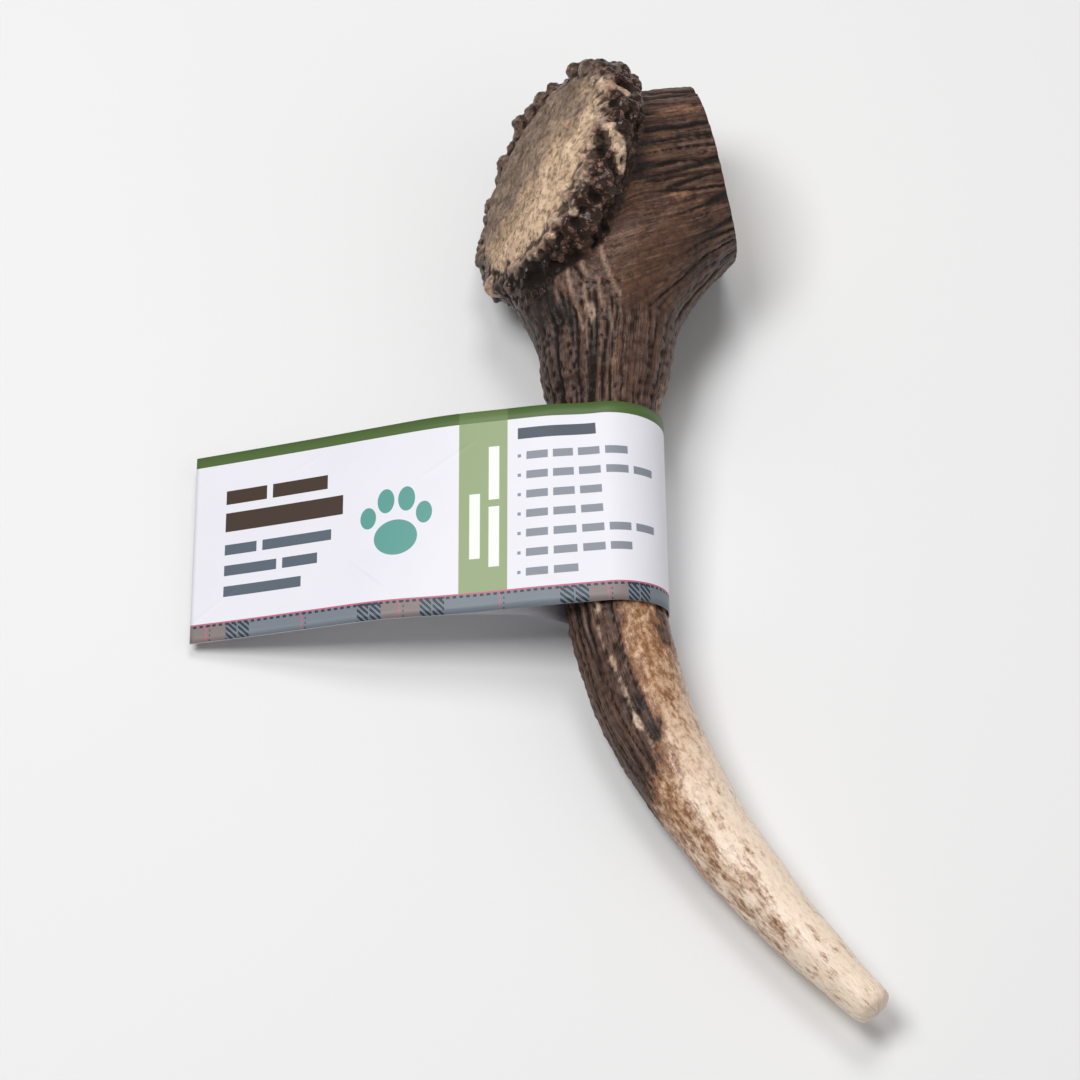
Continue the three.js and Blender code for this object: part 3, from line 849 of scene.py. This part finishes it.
# The bark: streaks along the growth, warmer patches, fine lines, and painted shade in the hollows
fine = look.blend(beam, look.noise(look.stretch(tine_way_at, 1, 1, 0.06), 2.3, 3, 0.6),
                  look.noise(look.stretch(beam_way_at, 1, 1, 0.05), 2.1, 3, 0.6))
warm = look.read("warm")
bark = look.weigh((patch, 0.5), (streak, 0.9), (top, 0.25), (speck, 0.35))
bark = look.ramp(look.math("DIVIDE", bark, 2.0), (0.35, BARK), (0.49, WARM_BARK), (0.59, GREY_BARK), (0.70, ORANGE))
bark = look.mix(look.times(warm, 0.7), bark, look.mix(speck, BARK, look.mix(streak, WARM_BARK, ORANGE)))
bark = look.mix(look.times(look.read("ochre"), look.ramp(speck, (0.38, 0.25), (0.58, 1.0))), bark, OCHRE)
bark = look.mix(look.ramp(fine, (0.38, 0.45), (0.50, 0.0)), bark, BARK)
bark = look.mix(look.ramp(fine, (0.53, 0.0), (0.66, 0.30)), bark, LINE)
# Painted shade: the bark darkened on the tine's left side and under the burr, less on the crests
painted_shade_at = look.read("painted_shade")
bark = look.mix(look.times(painted_shade_at, look.ramp(top, (0.1, 0.68), (0.9, 0.15))), bark, GROOVE_AND_SHADE)
# Painted shade in the hollows, with the dark of the cracks
bark = look.mix(look.times(look.math("MAXIMUM", pit, crack), 0.7), bark, GROOVE_AND_SHADE)
bark = look.mix(look.times(look.read("lined"), look.ramp(speck, (0.36, 0.3), (0.56, 0.85))), bark, LINE)

# The bone that shows where the bark has worn off, flecked and blotted below the label
pale_at = look.read("pale")
bare = look.weigh((streak, 0.25), (mottle, 0.75), (pale_at, 0.9))
bare = look.ramp(look.math("DIVIDE", bare, 1.8), (0.16, BROWN_BONE), (0.36, TAN), (0.64, CREAM), (0.80, IVORY))
near_label = look.rest_of(pale_at, 0.75)
fleck = look.noise(look.stretch(tine_way_at, 0.8, 0.8, 0.7), 0.80, 5, 0.72)
bare = look.mix(look.times(near_label, look.ramp(fleck, (0.49, 0.0), (0.62, 0.85))), bare, ORANGE_BONE)
bare = look.mix(look.times(near_label, look.ramp(fleck, (0.34, 0.60), (0.50, 0.0))), bare, LIGHT_BONE)
blot = look.noise(look.stretch(tine_way_at, 0.8, 0.8, 0.6), 0.34, 5, 0.72)
blot = look.ramp(look.weigh((blot, 1.0), (look.read("stain"), 0.17)), (0.56, 0.0), (0.72, 1.0))
bare = look.mix(look.times(blot, 0.75), bare, BLOT)
bare = look.mix(look.times(blot, look.ramp(fleck, (0.49, 0.0), (0.56, 0.85))), bare, BROWN_BONE)
bare = look.mix(look.times(look.times(blot, 0.6), look.ramp(fleck, (0.36, 1.0), (0.46, 0.0))), bare, LIGHT_BONE)

# Where the bark has gone: it holds longest in the hollows
gone = look.weigh((wear, 1.4), (mottle, 1.5), (hollow_at, -0.5), (speck, 0.5))
gone = look.ramp(look.math("DIVIDE", gone, 3.5), (0.34, 0.0), (0.48, 1.0))
gone = look.times(gone, look.ramp(wear, (0.02, 0.0), (0.14, 1.0)))
bone = look.mix(gone, bark, bare)
between_them = look.times(gone, look.rest_of(gone))
between_them = look.times(between_them, look.ramp(speck, (0.38, 0.8), (0.60, 3.0)))
bone = look.mix(between_them, bone, ORANGE_EDGE)
bone = look.mix(look.times(look.ramp(deep, (0.18, 0.0), (0.60, 0.9)), look.rest_of(gone, 0.8)), bone, GROOVE_AND_SHADE)

# The seal's porous bone, the burr's pearls and what is rubbed pale on them, with painted shade and painted highlights
# The seal's tone: grey to tan with noise, lighter on one side as painted light
seal_bone = look.weigh((look.read("seal_tan_and_lit"), 1.0), (look.noise(place, 0.30, 8, 0.74), 2.3))
seal_bone = look.ramp(look.math("DIVIDE", seal_bone, 2.8), (0.30, SEAL_DARK), (0.45, SEAL_GREY), (0.66, SEAL_TAN),
                      (0.86, SEAL_LIGHT))
pore = look.ramp(look.noise(place, 0.80, 5, 0.75), (0.38, 1.0), (0.50, 0.0))
# Pores, and painted shade in the seal's hollows
seal_bone = look.mix(look.times(look.math("MAXIMUM", pore, pit), 0.62), seal_bone, SEAL_PORE_AND_SHADE)
dome, shade = look.beads(look.bend(place, 0.75, 1.9), 0.62)
# The pearls: darker in the gaps between the beads as painted shade, and a painted highlight on their tops, stronger
# on crests
burr_bone = look.mix(look.ramp(dome, (0.12, 0.0), (0.70, 1.0)), PEARL, PEARL_BROWN)
light = look.times(look.ramp(dome, (0.35, 0.0), (0.98, 0.85)), look.ramp(shade, (0.36, 0.25), (0.62, 1.0)))
light = look.times(light, look.math("MULTIPLY_ADD", top, 0.65, 0.2))
burr_bone = look.mix(light, burr_bone, PEARL_HIGHLIGHT)
# Painted shade in the burr's hollows and under its low end
burr_bone = look.mix(look.math("MAXIMUM", pit, look.times(painted_shade_at, 0.75)), burr_bone, GROOVE_AND_SHADE)
colour = look.mix(burr, bone, burr_bone)
colour = look.mix(seal, colour, seal_bone)
rub = look.times(look.read("rub"), look.ramp(speck, (0.35, 0.35), (0.6, 1.0)))
rub = look.times(rub, look.rest_of(pit, 0.8))
colour = look.mix(rub, colour, look.mix(look.ramp(patch, (0.30, 0.25), (0.60, 1.0)), TAN, CREAM))
look.put(look.shader.inputs["Base Color"], colour)

# How dull each kind of skin is
dull = look.blend(gone, look.blend(speck, 0.30, 0.52), look.blend(speck, 0.16, 0.34))
dull = look.blend(burr, dull, look.blend(speck, 0.12, 0.30))
dull = look.blend(pit, dull, 0.95)
dull = look.blend(seal, dull, 0.8)
look.shader.inputs["Specular IOR Level"].default_value = 0.30
look.put(look.shader.inputs["Roughness"], dull)

bead = look.cells(look.stretch(tine_way_at, 1, 1, 0.6), 0.85)
# The finest relief, too small for the mesh
height = look.weigh((speck, 0.5), (streak, 0.9), (bead, -0.4), (crack, -0.5), (fine, 0.8))
height = look.times(height, look.rest_of(gone, 0.7))
height = look.blend(burr, height, look.weigh((speck, 0.4), (dome, 1.3)))
grit = look.weigh((look.noise(place, 1.3, 6, 0.75), 1.0), (pore, -0.5))
height = look.blend(seal, height, grit)
bump = look.add("ShaderNodeBump")
bump.inputs["Strength"].default_value = 0.6
bump.inputs["Distance"].default_value = 0.4 * MM
look.put(bump.inputs["Height"], height)
look.put(look.shader.inputs["Normal"], bump.outputs[0])
antler.data.materials.append(look.material)

# The sawn face: dense bone round a spongy core, with the blade's faint marks
SAWN_CORE = (0.30, 0.19, 0.11, 1)
SAWN_SPONGE = (0.55, 0.42, 0.28, 1)
SAWN_DENSE = (0.66, 0.52, 0.38, 1)
SAWN_RIM = (0.48, 0.33, 0.21, 1)
SAWN_HOLE = (0.11, 0.06, 0.035, 1)
SAWN_REACH = 24.0  # from the middle of the core to just past the rim, in mm

face = Nodes("sawn_bone")
at = face.stretch(face.add("ShaderNodeTexCoord").outputs["Object"], 1000, 1000, 1000)
centre = face.add("ShaderNodeVectorMath", operation="DISTANCE")
face.put(centre.inputs[0], at)
centre.inputs[1].default_value = tuple(SAWN_MIDDLE)
core = face.weigh((centre.outputs["Value"], 1.0), (face.noise(at, 0.25, 3), 5.0))
sponge = face.cells(face.bend(at, 0.8, 1.0), 0.85)
core = face.math("DIVIDE", core, SAWN_REACH)
ring = face.ramp(core, (0.40, SAWN_CORE), (0.60, SAWN_SPONGE), (0.74, SAWN_DENSE), (0.93, SAWN_RIM))
holes = face.times(face.ramp(sponge, (0.26, 1.0), (0.44, 0.0)), face.ramp(core, (0.46, 1.0), (0.70, 0.0)))
face.put(face.shader.inputs["Base Color"], face.mix(holes, ring, SAWN_HOLE))
face.shader.inputs["Roughness"].default_value = 0.7
teeth = face.add("ShaderNodeTexWave", bands_direction="Z")
face.put(teeth.inputs["Vector"], at)
teeth.inputs["Scale"].default_value = 0.45
teeth.inputs["Distortion"].default_value = 1.2
marks = face.add("ShaderNodeBump")
marks.inputs["Strength"].default_value = 0.4
marks.inputs["Distance"].default_value = 0.2 * MM
face.put(marks.inputs["Height"], face.math("SUBTRACT", face.times(teeth.outputs["Fac"], 0.4), holes))
face.put(face.shader.inputs["Normal"], marks.outputs[0])
antler.data.materials.append(face.material)

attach(antler, "root")
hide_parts("beam_base", "brow_tine")


# The paper label
# One strip of coated paper laid round the tine, its two ends stuck together as a flag that droops to the table.
# It is printed on one side: a green band, an olive panel, a tartan border, plain bars and a paw print.

LABEL_HEIGHT = 43.4  # from its far edge to its near one
PAPER = 0.14
LABEL_TOP = np.array([13.4, 22.3, 28.9]) - ORIGIN  # where the far edge passes over the tine
LABEL_FALL = 0.131  # the flag's slope towards the near edge, in radians
LABEL_LEAN = (0.08, 0.18)  # the loop's slope at the far and the near edge
LABEL_SKEW = 0.022
# The loop at the far and the near edge: its radius, its middle's place across and how far it hangs
LOOP_RADIUS = (12.0, 10.7)
LOOP_ACROSS = (0, 2.1)
LOOP_DROP = (0, 0.6)
# The flag from its free end to the tine: place across, then the far and near edges' height
FLAG = np.array([
    [-85, -25.7, -20.7],
    [-71.6, -20.7, -16.9],
    [-58.9, -15.9, -12.9],
    [-46.3, -10.9, -9.1],
    [-33, -5.9, -7.2],
    [-21.5, -3.0, -5.4],
    [-12.3, -1.1, -3.4],
])
FLAG_OPENS = -33  # from here towards the tine the two plies part
OPENING = (7.4, 4.0)  # how far the back ply has dropped, far and near, where it meets the loop
LOOP_LEFT = -17.5
FRONT_LEAVES, BACK_LEAVES = 0.6 * np.pi, -0.86 * np.pi
STUCK = 0.16  # how far apart the two stuck plies' middles lie
FLAG_STEPS, LOOP_STEPS, PARTED_STEPS = 24, 15, 6


def strip_line(edge):
    """The strip's line seen from its end, for the far (0) or near (1) edge: the flag to the tine, round it
    from over the top to its left side, and back to the flag's free end under the front ply. The back ply is
    the front one dropped by a little, and by a growing opening near the tine."""
    across = np.concatenate([np.linspace(FLAG[0, 0], FLAG_OPENS, FLAG_STEPS), FLAG[5:, 0]])
    flag = through(FLAG[:, 0], FLAG[:, [0, 1 + edge]], across)
    angle = np.linspace(FRONT_LEAVES, BACK_LEAVES, LOOP_STEPS)[:, None]
    middle = np.array([LOOP_ACROSS[edge], -LOOP_RADIUS[edge] - LOOP_DROP[edge]])
    loop = middle + LOOP_RADIUS[edge] * np.concatenate([np.cos(angle), np.sin(angle)], 1)
    across = np.concatenate([np.linspace(LOOP_LEFT, FLAG_OPENS, PARTED_STEPS)[:-1],
                             np.linspace(FLAG_OPENS, FLAG[0, 0], FLAG_STEPS)])
    under = through(FLAG[:, 0], FLAG[:, [0, 1 + edge]], across)
    parted = np.clip((across - FLAG_OPENS) / (LOOP_LEFT - FLAG_OPENS), 0, 1)
    under[:, 1] -= STUCK + OPENING[edge] * parted ** 1.6
    return np.concatenate([flag, loop, under])


def label_points(line, down):
    """Places of the strip: across and height from its line, sheared along the tine by the lean, with each
    row further down the slope of the label."""
    x, y = line[..., 0], line[..., 1]
    on_tine_here = smooth(x, FLAG[-3, 0], FLAG[-1, 0])
    lean = LABEL_FALL + on_tine_here * (LABEL_LEAN[0] + (LABEL_LEAN[1] - LABEL_LEAN[0]) * down - LABEL_FALL)
    place = np.stack([x, LABEL_SKEW * x - y * np.sin(lean), y * np.cos(lean)], -1)
    fall = np.array([0, -np.cos(LABEL_FALL), -np.sin(LABEL_FALL)])
    return LABEL_TOP + place + (down * LABEL_HEIGHT)[..., None] * fall


rows, columns = 26, 260
far, near = strip_line(0), strip_line(1)
steps_along = np.linalg.norm(np.diff((far + near) / 2, axis=0), axis=1)
span = np.concatenate([[0], np.cumsum(steps_along)])
at_span = np.linspace(0, span[-1], columns)
lines = [through(span, line, at_span) for line in (far, near)]
down = np.linspace(0, 1, rows)[None, :] * np.ones((columns, 1))
mixed = lines[0][:, None] * (1 - down[..., None]) + lines[1][:, None] * down[..., None]
sheet = label_points(mixed, down)
way = np.gradient(sheet, axis=0)
fall_way = np.gradient(sheet, axis=1)
outside = unit(np.cross(fall_way, way))
printed_length = at_span[:, None] * np.ones((1, rows))

both = np.stack([sheet + outside * PAPER / 2, sheet - outside * PAPER / 2], 0)
number = np.arange(2 * columns * rows).reshape(2, columns, rows)


def sheet_faces(n):
    """Faces of a thin closed sheet: its printed side, its back turned over, and its four edges."""
    front, back = n
    patches = [(front[:-1, :-1], front[:-1, 1:], front[1:, 1:], front[1:, :-1]),
               (back[:-1, :-1], back[1:, :-1], back[1:, 1:], back[:-1, 1:]),
               (front[:-1, 0], front[1:, 0], back[1:, 0], back[:-1, 0]),
               (front[1:, -1], front[:-1, -1], back[:-1, -1], back[1:, -1]),
               (front[0, 1:], front[0, :-1], back[0, :-1], back[0, 1:]),
               (front[-1, :-1], front[-1, 1:], back[-1, 1:], back[-1, :-1])]
    return [np.stack([c.ravel() for c in corners], 1) for corners in patches]


label = mesh_of("paper_label_print", both.reshape(-1, 3), sheet_faces(number))
print_place = np.stack([np.broadcast_to(printed_length, (2, columns, rows)),
                        np.broadcast_to(down * LABEL_HEIGHT, (2, columns, rows)),
                        np.stack([np.ones((columns, rows)), np.zeros((columns, rows))])], -1)
give(label.data, "print", print_place.reshape(-1, 3), "FLOAT_VECTOR")
shade_smooth(label.data)

PAPER_WHITE = (0.80, 0.79, 0.85, 1)
PAPER_SHADE = (0.69, 0.68, 0.745, 1)
GREEN = (0.075, 0.135, 0.036, 1)
GREEN_ON_PANEL = (0.12, 0.195, 0.062, 1)
OLIVE = (0.29, 0.375, 0.19, 1)
BLUE_GREY = (0.135, 0.165, 0.205, 1)
TAUPE = (0.19, 0.150, 0.145, 1)
NAVY = (0.020, 0.035, 0.055, 1)
PINK = (0.52, 0.13, 0.21, 1)
BROWN_INK = (0.055, 0.032, 0.022, 1)
SLATE_INK = (0.095, 0.125, 0.16, 1)
DEEP_INK = (0.055, 0.072, 0.10, 1)
TEAL_INK = (0.10, 0.33, 0.29, 1)
WHITE_INK = (0.86, 0.88, 0.84, 1)
GREEN_BAND = 2.5
BORDER = 4.2
BORDER_TOP = LABEL_HEIGHT - BORDER
PANEL = (57.8, 67.9)  # the olive panel along the strip
# The tartan: where along its repeat each colour lies, and the pitch and gap of what is woven
TARTAN_REPEAT, TARTAN_START = 42.0, -5.5
TAUPE_FIELD = (5.1, 13.3)
HATCHED = [(0.0, 2.4), (2.7, 5.1), (13.3, 15.7), (16.0, 18.4)]
PINK_THREADS = [(8.8, 9.2), (29.7, 30.1)]
NAVY_THREADS = [(9.7, 9.95), (30.6, 30.85)]
TWILL, HATCH, DASHES, STITCHES = (0.5, 0.25), (1.3, 0.6), (1.1, 0.4), (1.4, 0.65)
PINK_LINE, STITCHED = 0.35, 0.9  # how far the pink line and the stitches reach into the border

ink = Nodes("printed_paper")
print_at = ink.read("print", vector=True)  # along the strip, across it, and 1 on its printed side
spot = ink.add("ShaderNodeSeparateXYZ")
ink.put(spot.inputs[0], print_at)
u, v, side = spot.outputs


def between(value, low, high):
    """1 where the value lies between low and high."""
    return ink.math("COMPARE", value, (low + high) / 2, (high - low) / 2)


def both_of(a, b):
    """1 where both are 1."""
    return ink.times(a, b)


def any_of(value, ranges):
    """1 where the value lies in one of these ranges."""
    found = 0.0
    for low, high in ranges:
        found = ink.math("ADD", found, between(value, low, high))
    return found


def repeat(value, length, start):
    """The value counted from 0 again after each length."""
    return ink.math("WRAP", ink.math("SUBTRACT", value, start), length, 0.0)


def striped(value, pitch, gap):
    """1 on stripes that come at each pitch, after a gap."""
    return ink.math("GREATER_THAN", ink.math("WRAP", value, pitch, 0.0), gap)


sheet_colour = ink.mix(ink.ramp(ink.noise(print_at, 0.05, 3), (0.42, 0.0), (0.62, 0.16)), PAPER_WHITE, PAPER_SHADE)
sheet_colour = ink.mix(both_of(between(u, *PANEL), between(v, -1, BORDER_TOP)), sheet_colour, OLIVE)
stripe = ink.mix(between(u, *PANEL), GREEN, GREEN_ON_PANEL)
sheet_colour = ink.mix(between(v, -1, GREEN_BAND), sheet_colour, stripe)

# The tartan border
at_repeat = repeat(u, TARTAN_REPEAT, TARTAN_START)
cloth = ink.mix(between(at_repeat, *TAUPE_FIELD), BLUE_GREY, TAUPE)
cloth = ink.mix(ink.times(striped(ink.math("ADD", u, v), *TWILL), 0.12), cloth, WHITE_INK)
cloth = ink.mix(both_of(any_of(at_repeat, HATCHED), striped(ink.math("SUBTRACT", u, v), *HATCH)), cloth, NAVY)
dashes = striped(v, *DASHES)
cloth = ink.mix(both_of(any_of(at_repeat, PINK_THREADS), dashes), cloth, PINK)
cloth = ink.mix(both_of(any_of(at_repeat, NAVY_THREADS), ink.rest_of(dashes)), cloth, NAVY)
on_stitches = between(v, BORDER_TOP + PINK_LINE, BORDER_TOP + STITCHED)
cloth = ink.mix(both_of(on_stitches, striped(u, *STITCHES)), cloth, NAVY)
cloth = ink.mix(between(v, BORDER_TOP, BORDER_TOP + PINK_LINE), cloth, PINK)
sheet_colour = ink.mix(between(v, BORDER_TOP, LABEL_HEIGHT + 1), sheet_colour, cloth)

# Plain bars: start and end along the strip, top and bottom, ink
BARS = [
    (7, 16, 9.0, 12.2, BROWN_INK), (17.3, 29.5, 9.0, 12.2, BROWN_INK),
    (7, 33, 14.2, 18.6, BROWN_INK),
    (7, 14, 21.6, 24.0, SLATE_INK), (15.3, 30.5, 21.6, 24.0, SLATE_INK),
    (7, 18.5, 26.4, 28.8, SLATE_INK), (19.8, 27.5, 26.4, 28.8, SLATE_INK),
    (7, 24, 31.2, 33.6, SLATE_INK),
    (60.0, 62.2, 18, 32, WHITE_INK), (64.0, 66.2, 8, 19.5, WHITE_INK), (64.0, 66.2, 21, 34, WHITE_INK),
    (70.0, 87.0, 4.6, 7.0, DEEP_INK),
]
for start, end, top, bottom, tint in BARS:
    sheet_colour = ink.mix(both_of(between(u, start, end), between(v, top, bottom)), sheet_colour, tint)

# A list beside the panel: in each line a dot and then two to five short bars
LIST_TOP, LIST_PITCH, LIST_ROWS = 8.8, 4.2, 7
line_number = ink.math("FLOOR", ink.math("DIVIDE", ink.math("SUBTRACT", v, LIST_TOP), LIST_PITCH))
in_line = between(repeat(v, LIST_PITCH, LIST_TOP), 1.0, 2.7)
in_list = between(v, LIST_TOP, LIST_TOP + LIST_ROWS * LIST_PITCH)
SHORT_START, SHORT_PITCH, SHORT_GAP = 71.8, 5.6, 1.1  # the short bars, along the strip
in_short = ink.math("LESS_THAN", repeat(u, SHORT_PITCH, SHORT_START), SHORT_PITCH - SHORT_GAP)
short_number = ink.math("FLOOR", ink.math("DIVIDE", ink.math("SUBTRACT", u, SHORT_START), SHORT_PITCH))
shorts_in_line = ink.math("MULTIPLY_ADD", ink.math("SINE", ink.times(line_number, 1.9)), 1.6, 3.4)
present = both_of(ink.math("GREATER_THAN", short_number, -0.5), ink.math("LESS_THAN", short_number, shorts_in_line))
lines_mask = both_of(both_of(in_line, in_list), both_of(in_short, present))
dots = both_of(both_of(in_list, between(repeat(v, LIST_PITCH, LIST_TOP), 1.5, 2.2)), between(u, 70.0, 70.7))
sheet_colour = ink.mix(ink.times(ink.math("ADD", lines_mask, dots, clamp=True), 0.8), sheet_colour, SLATE_INK)

# A paw print: one pad and four toes, each an oval given by its middle and its half length and height
PAW = [(44.5, 25.5, 4.6, 3.9), (38.6, 20.6, 1.7, 2.4), (42.4, 17.2, 1.8, 2.7), (46.8, 17.2, 1.8, 2.7),
       (50.5, 20.6, 1.7, 2.4)]
for middle_u, middle_v, half_u, half_v in PAW:
    du = ink.math("DIVIDE", ink.math("SUBTRACT", u, middle_u), half_u)
    dv = ink.math("DIVIDE", ink.math("SUBTRACT", v, middle_v), half_v)
    square = ink.math("MULTIPLY_ADD", du, du, ink.times(dv, dv))
    sheet_colour = ink.mix(ink.math("LESS_THAN", square, 1.0), sheet_colour, TEAL_INK)

unprinted = ink.math("LESS_THAN", side, 0.6)
ink.put(ink.shader.inputs["Base Color"], ink.mix(unprinted, sheet_colour, PAPER_WHITE))

# Faint straight creases: a place on each, its slope, and how far it reaches to both sides
CREASES = [(3, 37, -0.75, 9), (24, 6, -0.42, 8), (40, 34, 0.9, 6), (55, 10, -0.6, 7), (78, 38, 0.5, 8)]
crease = 0.0
for at_u, at_v, slope, reach in CREASES:
    along_it = ink.math("SUBTRACT", u, at_u)
    off = ink.math("ABSOLUTE", ink.math("SUBTRACT", ink.math("MULTIPLY_ADD", along_it, slope, at_v), v))
    fade = ink.ramp(ink.math("DIVIDE", ink.math("ABSOLUTE", along_it), reach), (0.2, 1.0), (1.0, 0.0))
    crease = ink.math("MULTIPLY_ADD", ink.ramp(off, (0.0, 1.0), (0.8, 0.0)), fade, crease)
creased = ink.add("ShaderNodeBump")
creased.inputs["Strength"].default_value = 0.35
creased.inputs["Distance"].default_value = 0.25 * MM
ink.put(creased.inputs["Height"], crease)
ink.put(ink.shader.inputs["Normal"], creased.outputs[0])
ink.shader.inputs["Roughness"].default_value = 0.45
ink.shader.inputs["Specular IOR Level"].default_value = 0.35
label.data.materials.append(ink.material)

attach(label, "root")
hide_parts("paper_label")


# Floor, light and camera
# A pale table with a soft light above and to the left, weaker ones behind and at the right, and the
# photograph's view: from in front, 60 degrees above the table.

FLOOR_HALF = 3.0
floor_mesh = bpy.data.meshes.new("floor")
floor_mesh.from_pydata([(-FLOOR_HALF, -FLOOR_HALF, 0), (FLOOR_HALF, -FLOOR_HALF, 0),
                        (FLOOR_HALF, FLOOR_HALF, 0), (-FLOOR_HALF, FLOOR_HALF, 0)], [], [(0, 1, 2, 3)])
floor = bpy.data.objects.new("floor", floor_mesh)
bpy.context.scene.collection.objects.link(floor)
table = Nodes("pale_table")
table.shader.inputs["Base Color"].default_value = (0.82, 0.82, 0.82, 1)
table.shader.inputs["Roughness"].default_value = 0.8
floor.data.materials.append(table.material)


def facing(way):
    """The turn that points a light or camera along way, with its top up."""
    return Vector(way.tolist()).to_track_quat("-Z", "Y")


def lamp(name, place, aim, size, power):
    """A square soft light that faces aim."""
    light = bpy.data.lights.new(name, "AREA")
    light.size = size
    light.energy = power
    made = bpy.data.objects.new(name, light)
    made.location = place
    way = np.array(aim, float) - np.array(place, float)
    made.rotation_mode = "QUATERNION"
    made.rotation_quaternion = facing(way)
    bpy.context.scene.collection.objects.link(made)


AIM = np.array([2.17, 0.46, 11.02]) * MM  # what the middle of the photograph looks at
lamp("softbox", (-0.34, -0.02, 0.95), AIM, 0.42, 6.2)
lamp("back_softbox", (0.05, 0.42, 0.90), AIM, 0.35, 2.6)
lamp("fill", (0.8, -0.3, 0.6), AIM, 0.9, 1.6)

world = bpy.data.worlds.new("studio")
bpy.context.scene.world = world
world.use_nodes = True
world.node_tree.nodes["Background"].inputs["Color"].default_value = (1, 1, 1, 1)
world.node_tree.nodes["Background"].inputs["Strength"].default_value = 0.22

ELEVATION = np.radians(60)
DISTANCE = 0.95
FIELD = 0.2214  # width of the view at the aim
camera = bpy.data.objects.new("camera", bpy.data.cameras.new("camera"))
camera.data.sensor_width = 36
camera.data.lens = 36 * DISTANCE / FIELD
towards = np.array([0, -np.cos(ELEVATION), np.sin(ELEVATION)])
camera.location = AIM + DISTANCE * towards
camera.rotation_mode = "QUATERNION"
camera.rotation_quaternion = facing(-towards)
camera.data.clip_start = 0.05
camera.data.clip_end = 20
bpy.context.scene.collection.objects.link(camera)
bpy.context.scene.camera = camera
bpy.context.scene.view_settings.view_transform = "Standard"
